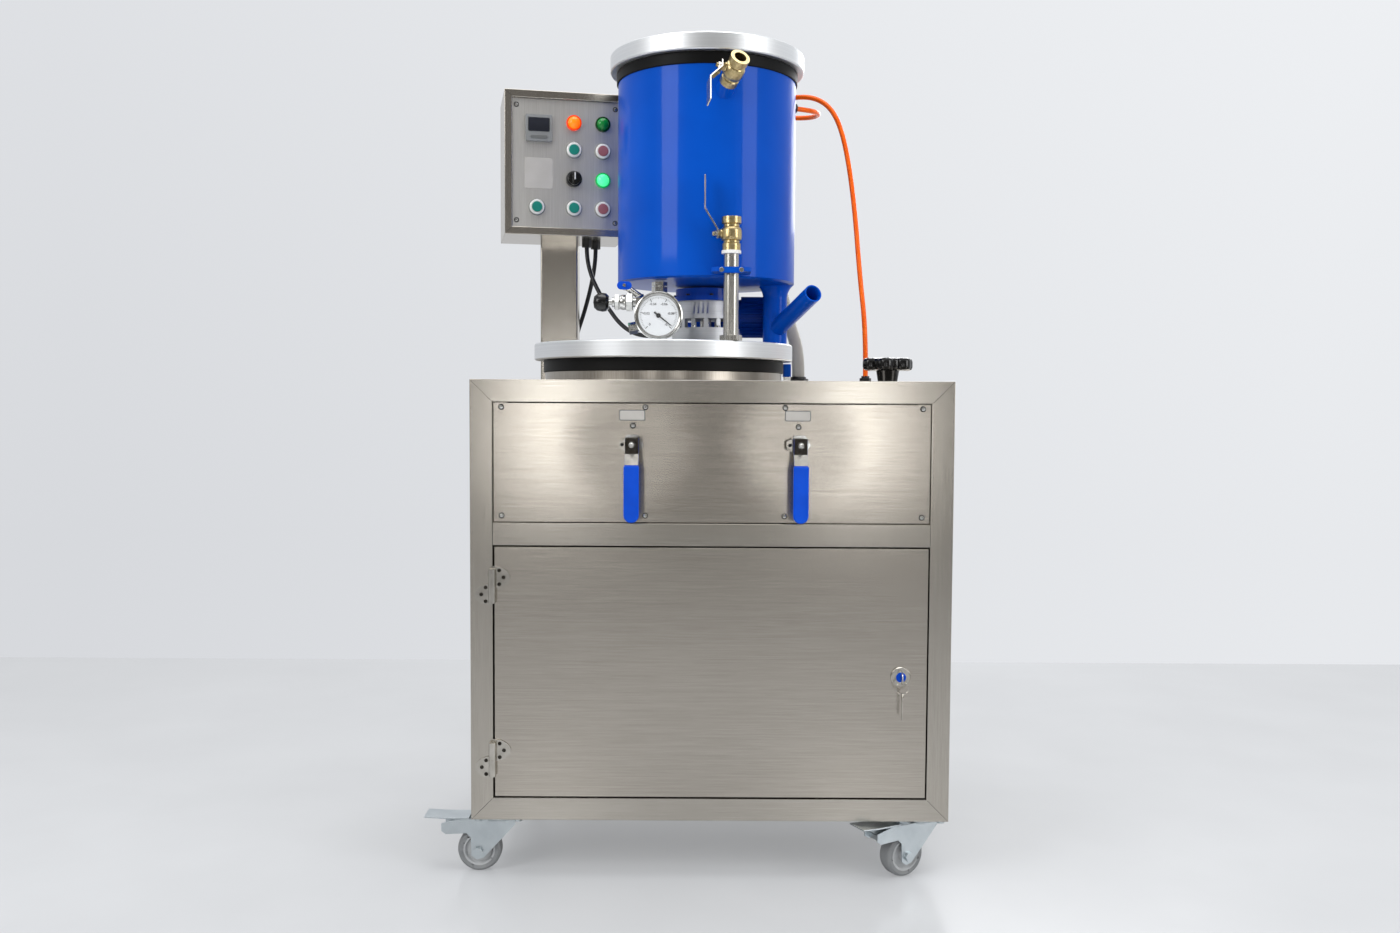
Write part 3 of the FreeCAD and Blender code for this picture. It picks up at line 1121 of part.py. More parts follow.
def gauge_manifold():
    """The column of fittings from the lid to the tank: nuts, a tee for the gauge and two branches."""
    x, y, r = GAUGE_X, MANIFOLD_Y, MANIFOLD_PIPE_R
    top = TANK_BOTTOM - 7
    column = rod(r, (x, y, LID_TOP), (x, y, top))
    nuts = [hexagon(MANIFOLD_HEX, (x, y, z), (x, y, z + h)) for z, h in
            ((LID_TOP, 12), (LID_TOP + 22, 9), (BRANCH_Z + 18, 12), (top - 8, 8))]
    tee = rod(r + 6, (x, y, BRANCH_Z - 15), (x, y, BRANCH_Z + 15))
    gauge_branch = hexagon(22, (x, y - r - 7, GAUGE_Z), (x, y, GAUGE_Z))
    gauge_body = rod(r + 5, (x, y, GAUGE_Z - 14), (x, y, GAUGE_Z + 14))
    branch = rod(BRANCH_R, (x, y, BRANCH_Z), (x - 44, y, BRANCH_Z))
    collar = hexagon(28, (x - 30, y, BRANCH_Z), (x - 44, y, BRANCH_Z))
    barrel = rod(BRANCH_R - 3, (x - 44, y, BRANCH_Z), (BRANCH_END_X + 6, y, BRANCH_Z))
    neck = rod(5, (BRANCH_END_X + 6, y, BRANCH_Z), (BRANCH_END_X - 12, y, BRANCH_Z))
    bleed = rod(6, (x - 26, y, BRANCH_Z + 4), (BLEED_X, y, BLEED_Z))
    bleed_body = rod(8, (BLEED_X, y + 9, BLEED_Z), (BLEED_X, y - 9, BLEED_Z))
    bleed_stem = rod(3, (BLEED_X, y - 9, BLEED_Z), (BLEED_X, y - 20, BLEED_Z))
    plug = rod(8, (x, y, LID_TOP + 36), (x - 46, y, LID_TOP + 28))
    cap = hexagon(20, (x - 42, y, LID_TOP + 28.7), (x - 58, y, LID_TOP + 26))
    return fuse(column, *nuts, tee, gauge_branch, gauge_body, branch, collar, barrel, neck,
                bleed, bleed_body, bleed_stem, plug, cap)


def relief_knob():
    """The ball-shaped knob on the relief valve's spindle."""
    y = MANIFOLD_Y
    start = BRANCH_END_X
    belly = [(KNOB_R, 5), (KNOB_R + 1, 12), (KNOB_R - 1, 22)]
    knob = turned([(0.1, 0), (KNOB_R - 5, 0)] + belly + [(KNOB_R - 6, KNOB_LENGTH - 2), (0.1, KNOB_LENGTH)])
    knob = about(knob, (0, 0, 0), Y_AXIS, -90).translated(V(start, y, BRANCH_Z))
    return knob.cut(rod(5 + RUNNING_CLEARANCE, (start, y, BRANCH_Z), (start - 12.5, y, BRANCH_Z)))


def bleed_lever():
    """The small oval lever of the bleed valve."""
    length, height, thick = BLEED_LEVER
    y = MANIFOLD_Y - 9 - SEAT_GAP
    straight = (length - height) / 2
    x0, x1 = BLEED_X - straight, BLEED_X + straight
    ends = [rod(height / 2, (x, y - thick, BLEED_Z), (x, y, BLEED_Z)) for x in (x0, x1)]
    middle = box(x0, x1, y - thick, y, BLEED_Z - height / 2, BLEED_Z + height / 2)
    lever = fuse(middle, *ends)
    return lever.cut(rod(3 + RUNNING_CLEARANCE, (BLEED_X, y - thick, BLEED_Z), (BLEED_X, y, BLEED_Z)))


def handwheel():
    """A lobed knob on a tapered hub, bored for its spindle."""
    z0 = DECK + HANDWHEEL_RISE
    t = HANDWHEEL_THICKNESS
    r = HANDWHEEL_LOBE_R

    def puck(radius, x, y):
        corner = 7.0
        low_rim = [(0.1, z0), (radius - corner, z0), (radius - 2, z0 + 2), (radius, z0 + corner)]
        high_rim = [(r_at, 2 * z0 + t - z_at) for r_at, z_at in reversed(low_rim)]
        return turned(low_rim + high_rim, (x, y, 0))

    reach = HANDWHEEL_R - r
    lobes = []
    for i in range(HANDWHEEL_LOBES):
        turn = math.radians(360.0 * i / HANDWHEEL_LOBES + 15)
        lobes.append(puck(r, HANDWHEEL_X + reach * math.cos(turn), HANDWHEEL_Y + reach * math.sin(turn)))
    hub = turned([(0.1, DECK + SEAT_GAP), (HANDWHEEL_HUB_R - 4, DECK + SEAT_GAP), (HANDWHEEL_HUB_R, z0 + 1),
                  (0.1, z0 + 1)], (HANDWHEEL_X, HANDWHEEL_Y, 0))
    wheel = fuse(puck(reach + 2, HANDWHEEL_X, HANDWHEEL_Y), hub, *lobes)
    bore_top = z0 + HANDWHEEL_THICKNESS / 2 + FLAT_GAP
    return wheel.cut(rod(HANDWHEEL_SPINDLE_R + RUNNING_CLEARANCE, (HANDWHEEL_X, HANDWHEEL_Y, DECK),
                         (HANDWHEEL_X, HANDWHEEL_Y, bore_top)))


# Post and control box


def control_post():
    """The post with its foot plate, and the cap under the control box."""
    hx, hy = POST_WIDTH / 2, POST_DEPTH / 2
    outer = box(POST_X - hx, POST_X + hx, POST_Y - hy, POST_Y + hy, DECK, BOX_BOTTOM)
    outer = outer.makeFillet(4, [e for e in outer.Edges if e.BoundBox.ZLength > 100])
    ix, iy = hx - POST_WALL, hy - POST_WALL
    inner = box(POST_X - ix, POST_X + ix, POST_Y - iy, POST_Y + iy, DECK + POST_FOOT, BOX_BOTTOM - POST_WALL)
    fx = hx + POST_FOOT_MARGIN
    foot = box(POST_X - fx, POST_X + fx, POST_Y - hy - POST_FOOT_MARGIN, POST_Y + hy, DECK, DECK + POST_FOOT)
    return fuse(outer.cut(inner), foot)


def on_box(shape):
    """Moves a piece drawn on the control box's own axes to its turned place on the post."""
    return about(shape, (0, 0, 0), Z_AXIS, BOX_TURN).translated(V(BOX_X, BOX_Y, BOX_BOTTOM))


BOX_FACE = -BOX_DEPTH / 2
FASCIA_FACE = BOX_FACE + FASCIA_RECESS


def control_box():
    """A hollow sheet box with a returned border round the recessed fascia."""
    half = BOX_WIDTH / 2
    shell = box(-half, half, BOX_FACE, -BOX_FACE, 0, BOX_HEIGHT)
    window = box(-half + BOX_BORDER, half - BOX_BORDER, BOX_FACE, FASCIA_FACE + FASCIA_SHEET,
                 BOX_BORDER, BOX_HEIGHT - BOX_BORDER)
    inner = box(-half + BOX_SHEET, half - BOX_SHEET, FASCIA_FACE + FASCIA_SHEET, -BOX_FACE - BOX_SHEET,
                BOX_SHEET, BOX_HEIGHT - BOX_SHEET)
    return on_box(shell.cut(window).cut(inner))


def control_fascia():
    margin = BOX_BORDER + FASCIA_GAP
    half = BOX_WIDTH / 2 - margin
    sheet = box(-half, half, FASCIA_FACE, FASCIA_FACE + FASCIA_SHEET, margin, BOX_HEIGHT - margin)
    holes = [rod(BUTTON_CAP_R + 2 + SEAT_GAP, (x, FASCIA_FACE, z), (x, FASCIA_FACE + FASCIA_SHEET, z))
             for x, z in list(BUTTONS.values())]
    return on_box(sheet.cut(Part.makeCompound(holes)))


def display_unit():
    width, height, proud = DISPLAY
    x, z = DISPLAY_PLACE
    half = width / 2
    case = box(x - half, x + half, FASCIA_FACE - proud, FASCIA_FACE, z - height / 2, z + height / 2)
    case = case.makeFillet(2, [e for e in case.Edges if e.BoundBox.YLength > 1])
    screen = box(x - half + 5, x + half - 5, FASCIA_FACE - proud, FASCIA_FACE - proud + 1.5,
                 z - 6, z + height / 2 - 6)
    return on_box(case.cut(screen))


def button_collars():
    """The five pressed collars and the selector's collar, seated on the fascia."""
    collars = []
    for x, z in BUTTONS.values():
        ring = rod(BUTTON_R, (x, FASCIA_FACE - BUTTON_COLLAR, z), (x, FASCIA_FACE, z))
        front_rim = [e for e in ring.Edges if abs(e.CenterOfMass.y - FASCIA_FACE + BUTTON_COLLAR) < 0.01]
        ring = ring.makeChamfer(EDGE_BREAK, front_rim)
        sleeve = rod(BUTTON_CAP_R + 2, (x, FASCIA_FACE, z), (x, FASCIA_FACE + 22, z))
        ring = fuse(ring, sleeve)
        collars.append(ring.cut(rod(BUTTON_CAP_R + RUNNING_CLEARANCE, (x, FASCIA_FACE - BUTTON_COLLAR, z),
                                    (x, FASCIA_FACE + 18, z))))
    x, z = SELECTOR_PLACE
    collars.append(rod(BUTTON_R, (x, FASCIA_FACE - BUTTON_COLLAR, z), (x, FASCIA_FACE, z)).cut(
        rod(4 + RUNNING_CLEARANCE, (x, FASCIA_FACE - BUTTON_COLLAR, z), (x, FASCIA_FACE - 1, z))))
    return on_box(Part.makeCompound(collars))


def button_cap(name):
    """A cap that slides in its collar, stopped by the sleeve's floor."""
    x, z = BUTTONS[name]
    front = FASCIA_FACE - BUTTON_COLLAR - BUTTON_PROUD
    cap = rod(BUTTON_CAP_R, (x, front, z), (x, FASCIA_FACE + 18 - BUTTON_TRAVEL - FLAT_GAP, z))
    cap = cap.makeFillet(1.2, [e for e in cap.Edges if abs(e.CenterOfMass.y - front) < 0.01])
    return on_box(cap)


def selector_knob():
    """The rotary selector: a round skirt with a raised finger bar on a short spindle."""
    x, z = SELECTOR_PLACE
    width, length, proud = SELECTOR_GRIP
    skirt_back = FASCIA_FACE - BUTTON_COLLAR - SEAT_GAP
    skirt = rod(SELECTOR_R, (x, skirt_back - 4, z), (x, skirt_back, z))
    bar_back = skirt_back - 4
    bar = box(x - width / 2, x + width / 2, bar_back - proud, bar_back, z - length / 2, z + length / 2)
    bar = bar.makeFillet(2, [e for e in bar.Edges if e.BoundBox.YLength > 1])
    spindle = rod(4, (x, skirt_back, z), (x, FASCIA_FACE - 1 - SEAT_GAP, z))
    return on_box(fuse(skirt, bar, spindle))


def pilot_lamps():
    """Three domed indicator lamps."""
    lamps = []
    for x, z in LAMPS:
        side = [(LAMP_R, 0), (LAMP_R, 5), (LAMP_R - 1, LAMP_HEIGHT - 5)]
        dome = [(LAMP_R - 4, LAMP_HEIGHT - 1.5), (LAMP_R - 8, LAMP_HEIGHT), (0.1, LAMP_HEIGHT)]
        lens = turned([(0.1, 0)] + side + dome)
        lamps.append(about(lens, (0, 0, 0), X_AXIS, 90).translated(V(x, FASCIA_FACE, z)))
    return on_box(Part.makeCompound(lamps))


# Vacuum pump


def vacuum_pump():
    """The pump block and its motor on two feet, standing on the cabinet's bottom sheet."""
    floor = FLOOR + FRAME_TUBE / 2 + SHEET
    width, depth, height = PUMP_BLOCK
    z = floor + PUMP_FOOT
    block = box(PUMP_X, PUMP_X + width, PUMP_Y - depth / 2, PUMP_Y + depth / 2, z, z + height)
    block = block.makeFillet(10, [e for e in block.Edges if e.BoundBox.ZLength > 100])
    axis_z = z + PUMP_MOTOR_R
    start = PUMP_X + width
    motor = rod(PUMP_MOTOR_R, (start, PUMP_Y, axis_z), (start + PUMP_MOTOR_LENGTH, PUMP_Y, axis_z))
    far_rim = [e for e in motor.Edges if abs(e.CenterOfMass.x - start - PUMP_MOTOR_LENGTH) < 0.01]
    motor = motor.makeFillet(8, far_rim)
    can_x = PUMP_X + width / 2
    filter_can = rod(34, (can_x, PUMP_Y, z + height), (can_x, PUMP_Y, z + height + 80))
    feet = [box(x, x + 40, PUMP_Y - depth / 2, PUMP_Y + depth / 2, floor, z + 4)
            for x in (PUMP_X + 20, start + PUMP_MOTOR_LENGTH - 80)]
    saddle_x = start + PUMP_MOTOR_LENGTH - 80
    saddle = box(saddle_x, saddle_x + 40, PUMP_Y - 50, PUMP_Y + 50, z, axis_z)
    return fuse(block, motor, filter_can, saddle, *feet)


# Hoses and their fittings


def hose_fittings():
    """The push-in fitting and the vacuum elbow on the tank, the deck ports and the cable glands."""
    push_in = rod(AIR_HOSE_D, air_port(TANK_R + AIR_PORT_PROUD), air_port(TANK_R + AIR_FITTING_REACH))
    elbow = vacuum_elbow()
    wall = V(TANK_X, 0, elbow.z)
    port = wall + (elbow - wall).normalize() * (TANK_R + 4)
    tail = (V(*VACUUM_HOSE[1]) - V(*VACUUM_HOSE[0])).normalize() * VACUUM_TAIL
    bend = fuse(rod(VACUUM_PORT_R, port, elbow), Part.makeSphere(VACUUM_PORT_R, elbow),
                rod(VACUUM_PORT_R, elbow, elbow + tail))
    pieces = [push_in, bend]
    ports = ((AIR_HOSE, AIR_HOSE_D), (VACUUM_HOSE, 0.7 * VACUUM_HOSE_D), (POWER_CABLE, GLAND_R))
    top, bottom = DECK + GLAND_HEIGHT, BOX_BOTTOM - GLAND_HEIGHT
    for points, radius in ports:
        x, y = points[-1][:2]
        nut = hexagon(2 * radius, (x, y, DECK), (x, y, top - 4))
        pieces.append(fuse(nut, rod(radius - 2, (x, y, top - 4), (x, y, top))))
    for points in (POWER_CABLE, MOTOR_CABLE):
        x, y = points[0][:2]
        pieces.append(hexagon(2 * GLAND_R, (x, y, bottom), (x, y, BOX_BOTTOM)))
    return Part.makeCompound(pieces)


NODES = {
    "frame": frame,
    "body_panels": body_panels,
    "deck": deck,
    "front_panel": front_panel,
    "front_valves": front_valves,
    "left_valve_handle": lambda: valve_handle(VALVE_X[0]),
    "right_valve_handle": lambda: valve_handle(VALVE_X[1]),
    "door": door,
    "hinge_frame_leaves": hinge_frame_leaves,
    "hinge_door_leaves": hinge_door_leaves,
    "lock_housing": lock_housing,
    "lock_plug": lock_plug,
    "door_key": door_key,
    "key_ring": key_ring,
    "castor_plates": castor_plates,
    "vessel": vessel,
    "rubber_rings": rubber_rings,
    "vessel_lid": vessel_lid,
    "bearing_housing": bearing_housing,
    "agitator": agitator,
    "gear_motor": gear_motor,
    "tank": tank,
    "tank_lid": tank_lid,
    "riser_pipe": riser_pipe,
    "brass_valves": brass_valves,
    "outlet_lever": outlet_lever,
    "top_lever": top_lever,
    "gauge": gauge,
    "gauge_manifold": gauge_manifold,
    "relief_knob": relief_knob,
    "bleed_lever": bleed_lever,
    "handwheel": handwheel,
    "control_post": control_post,
    "control_box": control_box,
    "control_fascia": control_fascia,
    "display_unit": display_unit,
    "button_collars": button_collars,
    "selector_knob": selector_knob,
    "pilot_lamps": pilot_lamps,
    "vacuum_pump": vacuum_pump,
    "hose_fittings": hose_fittings,
    "air_hose": lambda: tube_along(AIR_HOSE, AIR_HOSE_D / 2),
    "vacuum_hose": lambda: tube_along(VACUUM_HOSE, VACUUM_HOSE_D / 2),
    "power_cable": lambda: tube_along(POWER_CABLE, CABLE_D / 2),
    "motor_cable": lambda: tube_along(MOTOR_CABLE, CABLE_D / 2),
}
for corner in CASTOR_PLACES:
    NODES["castor_fork_" + corner] = lambda c=corner: castor_fork(c)
    NODES["castor_wheel_" + corner] = lambda c=corner: castor_wheel(c)
for corner in BRAKED:
    NODES["brake_pedal_" + corner] = lambda c=corner: brake_pedal(c)
for button in BUTTONS:
    NODES[button] = lambda b=button: button_cap(b)


def build():
    os.makedirs("parts", exist_ok=True)
    for name, make in NODES.items():
        shape = make()
        facts = (name, len(shape.Solids), shape.isValid(), shape.Volume)
        print("%-22s solids %2d valid %s volume %.0f" % facts)
        shape.exportStep("parts/%s.step" % name)


build()
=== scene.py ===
# %% [markdown]
# # A vacuum mixer on a stainless cabinet
#
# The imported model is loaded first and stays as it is: every piece below is dressed, rounded or
# added around it. Lengths are in metres, and a millimetre value is written as a number times MM.

# %% Load the frame
import json
import math

import bmesh
import bpy
from mathutils import Matrix, Vector


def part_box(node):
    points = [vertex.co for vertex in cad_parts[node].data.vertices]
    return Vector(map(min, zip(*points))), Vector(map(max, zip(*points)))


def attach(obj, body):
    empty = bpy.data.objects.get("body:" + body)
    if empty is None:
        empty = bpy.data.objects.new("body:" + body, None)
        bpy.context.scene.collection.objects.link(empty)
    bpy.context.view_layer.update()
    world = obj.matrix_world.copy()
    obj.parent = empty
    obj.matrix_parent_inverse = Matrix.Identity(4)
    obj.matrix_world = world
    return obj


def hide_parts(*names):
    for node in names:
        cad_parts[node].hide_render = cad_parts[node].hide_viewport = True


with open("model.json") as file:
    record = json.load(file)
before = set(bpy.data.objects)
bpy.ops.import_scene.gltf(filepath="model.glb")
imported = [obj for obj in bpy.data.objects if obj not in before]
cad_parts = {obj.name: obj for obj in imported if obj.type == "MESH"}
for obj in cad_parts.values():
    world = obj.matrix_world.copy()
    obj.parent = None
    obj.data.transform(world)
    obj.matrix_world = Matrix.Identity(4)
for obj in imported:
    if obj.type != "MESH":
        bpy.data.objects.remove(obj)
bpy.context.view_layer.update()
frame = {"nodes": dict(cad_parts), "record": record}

MM = 0.001
nodes = frame["nodes"]
body_of_node = {n: body for body, names in frame["record"]["behaviour"]["bodies"].items() for n in names}
scene = bpy.context.scene


def corners(node):
    """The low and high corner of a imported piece, in mm."""
    return [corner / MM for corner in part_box(node)]


def centre(node):
    """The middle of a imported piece, in mm: rounded, since a faceted circle's box is a hair small."""
    low, high = corners(node)
    return Vector([round(value, 1) for value in (low + high) / 2])


# %% [markdown]
# ## Camera
#
# The lens and the place of the camera were fitted to the cabinet's edges, taken as 860 mm wide.
# It stands a little left of the middle, at the height of the worktop, and looks slightly down.

# %% Camera
FOCAL_PIXELS = 1219.573
IMAGE_WIDTH_PIXELS = 1400
CAMERA_PLACE = Vector((-0.0254, -2.4461, 0.86105))
PITCH_DOWN = 0.0526
YAW_RIGHT = 0.0019
ROLL = 0.0057

camera_data = bpy.data.cameras.new("camera")
camera_data.sensor_width = 36.0
camera_data.lens = FOCAL_PIXELS / IMAGE_WIDTH_PIXELS * camera_data.sensor_width
camera = bpy.data.objects.new("camera", camera_data)
scene.collection.objects.link(camera)
turn = Matrix.Rotation(-YAW_RIGHT, 4, "Z") @ Matrix.Rotation(math.pi / 2 - PITCH_DOWN, 4, "X")
camera.matrix_world = Matrix.Translation(CAMERA_PLACE) @ turn @ Matrix.Rotation(ROLL, 4, "Z")
scene.camera = camera
print("lens %.2f mm" % camera_data.lens)

# %% [markdown]
# ## Materials
#
# Each finish is named for the real stuff and for how its surface was made. One function turns the
# hex colours that people read off a colour card into the linear values that a shader wants, and
# one function adds a node with its settings and its links.

# %% Colour and node helpers


def colour(code):
    """sRGB hex to linear RGBA."""
    channels = [int(code[i:i + 2], 16) / 255 for i in (1, 3, 5)]
    linear = [c / 12.92 if c <= 0.04045 else ((c + 0.055) / 1.055) ** 2.4 for c in channels]
    return (*linear, 1.0)


def add(tree, kind, inputs=None, stops=(), **settings):
    """Adds a node, with its settings and links.

    An input's value is a constant, another node's output, or a node, which stands for its first
    output. stops are the (position, hex colour) pairs of a colour ramp.
    """
    node = tree.nodes.new(kind)
    for name, value in settings.items():
        setattr(node, name, value)
    for number, (position, code) in enumerate(stops):
        node.color_ramp.elements[number].position = position
        node.color_ramp.elements[number].color = colour(code)
    for name, value in (inputs or {}).items():
        if isinstance(value, bpy.types.Node):
            value = value.outputs[0]
        if isinstance(value, bpy.types.NodeSocket):
            tree.links.new(value, node.inputs[name])
        else:
            node.inputs[name].default_value = value
    return node


def start_material(name):
    material = bpy.data.materials.new(name)
    material.use_nodes = True
    material.node_tree.nodes.clear()
    return material, material.node_tree


def finish_material(tree, fixed, normal, tone_by, tones, rough, rough_by=None):
    """Ends a material whose colour and roughness vary with a pattern. fixed holds other inputs.

    tones are a colour ramp's stops. The roughness follows the colour's pattern, or its own.
    """
    gloss = {"Value": tone_by if rough_by is None else rough_by, "To Min": rough[0], "To Max": rough[1]}
    shader = add(tree, "ShaderNodeBsdfPrincipled", {
        "Base Color": add(tree, "ShaderNodeValToRGB", {"Fac": tone_by}, stops=tones),
        "Roughness": add(tree, "ShaderNodeMapRange", gloss), "Normal": normal, **fixed})
    add(tree, "ShaderNodeOutputMaterial", {"Surface": shader})


def object_pattern(tree, scale=(1, 1, 1)):
    """Object coordinates, scaled on each axis: the number of pattern units in a metre."""
    place = add(tree, "ShaderNodeTexCoord").outputs["Object"]
    return add(tree, "ShaderNodeMapping", {"Vector": place, "Scale": scale})


# %% [markdown]
# ## Brushed stainless steel
#
# Belt-ground 304 sheet: fine scratches all run one way, a few tenths of a millimetre apart and
# many centimetres long. Two stretched noises draw them, one fine and one coarser, and drive the
# colour, the roughness and a fine bump. A wide, shallow noise adds the slight waviness of thin
# sheet, which bends what the steel mirrors into soft cloudy bands.

# %% Brushed stainless steel
FINE_GRAIN = 2600.0
COARSE_GRAIN = 420.0
GRAIN_STRETCH = 0.006


def stretched_noise(tree, frequency, along, detail):
    """Noise drawn out along one axis: frequency is in cycles per metre across the grain."""
    scale = [frequency] * 3
    scale[along] = frequency * GRAIN_STRETCH
    return add(tree, "ShaderNodeTexNoise", {
        "Vector": object_pattern(tree, scale), "Scale": 1.0, "Detail": detail, "Roughness": 0.6})


def brushed_steel(name, along, light="#C0BBB2", dark="#ADA79D", rough=(0.2, 0.27), wave=0.0005, dents=()):
    """dents are (x, z, reach, depth) in metres: where a fitting pulls the sheet in."""
    material, tree = start_material(name)
    fine = stretched_noise(tree, FINE_GRAIN, along, 2.0)
    coarse = stretched_noise(tree, COARSE_GRAIN, along, 3.0)
    grain = add(tree, "ShaderNodeMix", {"Factor": 0.25, "A": fine, "B": coarse}, data_type="FLOAT")
    sheet = add(tree, "ShaderNodeTexNoise", {"Vector": object_pattern(tree), "Scale": 4.5, "Detail": 1.0})
    normal = add(tree, "ShaderNodeBump", {"Height": grain, "Strength": 0.08, "Distance": 0.0002})
    normal = add(tree, "ShaderNodeBump", {
        "Height": sheet, "Strength": 0.5, "Distance": wave, "Normal": normal})
    for x, z, reach, depth in dents:
        away = add(tree, "ShaderNodeVectorMath", {0: object_pattern(tree, (1, 0, 1)), 1: (x, 0, z)},
                   operation="DISTANCE")
        slope = add(tree, "ShaderNodeMapRange", {"Value": away.outputs["Value"], "From Max": reach},
                    interpolation_type="SMOOTHERSTEP")
        normal = add(tree, "ShaderNodeBump", {"Height": slope, "Distance": depth, "Normal": normal})
    finish_material(tree, {"Metallic": 1.0}, normal, grain, ((0.38, dark), (0.62, light)), rough)
    return material


steel_along_x = brushed_steel("brushed_stainless_along_x", 0)
steel_along_y = brushed_steel("brushed_stainless_along_y", 1)
steel_along_z = brushed_steel("brushed_stainless_along_z", 2)
VALVE_DROP_FROM_HANDLE_TOP = 12.0
VALVE_X = [centre(side + "_valve_handle").x for side in ("left", "right")]
VALVE_Z = corners("left_valve_handle")[1].z - VALVE_DROP_FROM_HANDLE_TOP
PULL_REACH, PULL_DEPTH = 0.16, 0.0022
pulls = [(x * MM, VALVE_Z * MM, PULL_REACH, PULL_DEPTH) for x in VALVE_X]
panel_steel = brushed_steel("brushed_stainless_panel", 0, "#C0BAB0", "#ACA59B", (0.2, 0.27), 0.0012, pulls)
vessel_steel = brushed_steel("turned_stainless_vessel", 2, "#AFA9A0", "#938D84", (0.25, 0.36))
print("the valves pull the panel in at x", VALVE_X, "z", VALVE_Z)

# %% [markdown]
# ## Turned and plated metals
#
# The lids are thick aluminium plate, turned on a lathe: fine concentric tool marks on top and
# level rings round the edge. Polished fittings, zinc plate with its faint cloudy passivation and
# the pale cast brass of the valves differ in tint and in how blurred they are.

# %% Turned aluminium


def turned_aluminium(name, centre_x, light="#E9EBEC", dark="#DADCDE", rough=(0.36, 0.5)):
    """Tool marks follow the distance from a vertical axis and the height."""
    material, tree = start_material(name)
    place = add(tree, "ShaderNodeTexCoord")
    split = add(tree, "ShaderNodeSeparateXYZ", {"Vector": place.outputs["Object"]})
    from_axis = add(tree, "ShaderNodeMath", {0: split.outputs["X"], 1: centre_x}, operation="SUBTRACT")
    flat = add(tree, "ShaderNodeCombineXYZ", {"X": from_axis, "Y": split.outputs["Y"]})
    radius = add(tree, "ShaderNodeVectorMath", {0: flat}, operation="LENGTH")
    rings = add(tree, "ShaderNodeCombineXYZ", {"X": radius.outputs["Value"], "Z": split.outputs["Z"]})
    marks = add(tree, "ShaderNodeTexNoise", {"Vector": rings, "Scale": 1400.0, "Detail": 3.0})
    cloud = add(tree, "ShaderNodeTexNoise", {"Vector": place.outputs["Object"], "Scale": 9.0, "Detail": 3.0})
    normal = add(tree, "ShaderNodeBump", {"Height": marks, "Strength": 0.12, "Distance": 0.0003})
    finish_material(tree, {"Metallic": 1.0}, normal, marks, ((0.35, dark), (0.7, light)), rough, cloud)
    return material


def plated_metal(name, light, dark, rough=(0.15, 0.3), grain=120.0, bump_height=0.00005):
    material, tree = start_material(name)
    cloud = add(tree, "ShaderNodeTexNoise", {"Vector": object_pattern(tree), "Scale": grain, "Detail": 4.0})
    normal = add(tree, "ShaderNodeBump", {"Height": cloud, "Strength": 0.3, "Distance": bump_height})
    finish_material(tree, {"Metallic": 1.0}, normal, cloud, ((0.3, dark), (0.7, light)), rough)
    return material


VESSEL_X = centre("vessel_lid").x
TANK_X = centre("tank_lid").x
vessel_lid_metal = turned_aluminium("turned_aluminium_vessel_lid", VESSEL_X * MM)
tank_lid_metal = turned_aluminium("turned_aluminium_tank_lid", TANK_X * MM)
housing_metal = turned_aluminium("turned_aluminium_housing", TANK_X * MM, "#DFE0E1", "#CDCFD0", (0.46, 0.6))
polished_steel = plated_metal("polished_stainless", "#CFCFCC", "#B4B3AF", (0.12, 0.24))
zinc = plated_metal("bright_zinc_plate", "#C9D0D3", "#B8C0C4", (0.26, 0.36), 30.0)
nickel = plated_metal("nickel_plate", "#C6C2BA", "#B2AEA5", (0.16, 0.25), 60.0)
valve_brass = plated_metal("pale_cast_brass", "#CDBB8F", "#B09C6C", (0.24, 0.36), 260.0, 0.0002)
dark_steel = plated_metal("dark_oiled_steel", "#45413C", "#26231F", (0.3, 0.45), 150.0)
print("the lids are turned about x", VESSEL_X, "and", TANK_X)

# %% [markdown]
# ## Paint
#
# The tank is sprayed with a saturated blue gloss enamel: a smooth coat with a faint orange peel
# of about 3 mm. The drive wears a slightly darker blue, over a rougher cast surface. The gloss is
# the clear coat's, and the colour beneath hardly shines, so the pale studio doesn't wash it out.

# %% Paint


def sprayed_paint(name, light, dark, rough, peel=320.0, peel_height=0.00006, coat=0.3):
    material, tree = start_material(name)
    place = object_pattern(tree)
    skin = add(tree, "ShaderNodeTexNoise", {"Vector": place, "Scale": peel, "Detail": 2.0})
    patch = add(tree, "ShaderNodeTexNoise", {"Vector": place, "Scale": 6.0, "Detail": 3.0})
    normal = add(tree, "ShaderNodeBump", {"Height": skin, "Strength": 0.3, "Distance": peel_height})
    fixed = {"Specular IOR Level": 0.05, "Coat Weight": coat, "Coat Roughness": 0.05}
    finish_material(tree, fixed, normal, patch, ((0.3, dark), (0.7, light)), (rough, rough + 0.06))
    return material


blue_enamel = sprayed_paint("blue_gloss_enamel", "#0050BE", "#0048B0", 0.28, coat=0.16)
drive_enamel = sprayed_paint("blue_machine_enamel", "#0C48B4", "#093B9A", 0.3, 700.0, 0.0002, 0.2)
pump_enamel = sprayed_paint("grey_machine_enamel", "#5A6068", "#4A5058", 0.4, 700.0, 0.0002, 0.1)
print("the tank's blue in linear light", tuple(round(part, 3) for part in colour("#0050BE")))

# %% [markdown]
# ## Plastics and rubber
#
# A moulded plastic keeps one colour through its wall, with a fine grain from the mould. Dipped
# vinyl is softer and glossier, rubber is dark and nearly matt. The same recipe serves them all,
# with a different colour, gloss and grain.

# %% Plastics and rubber


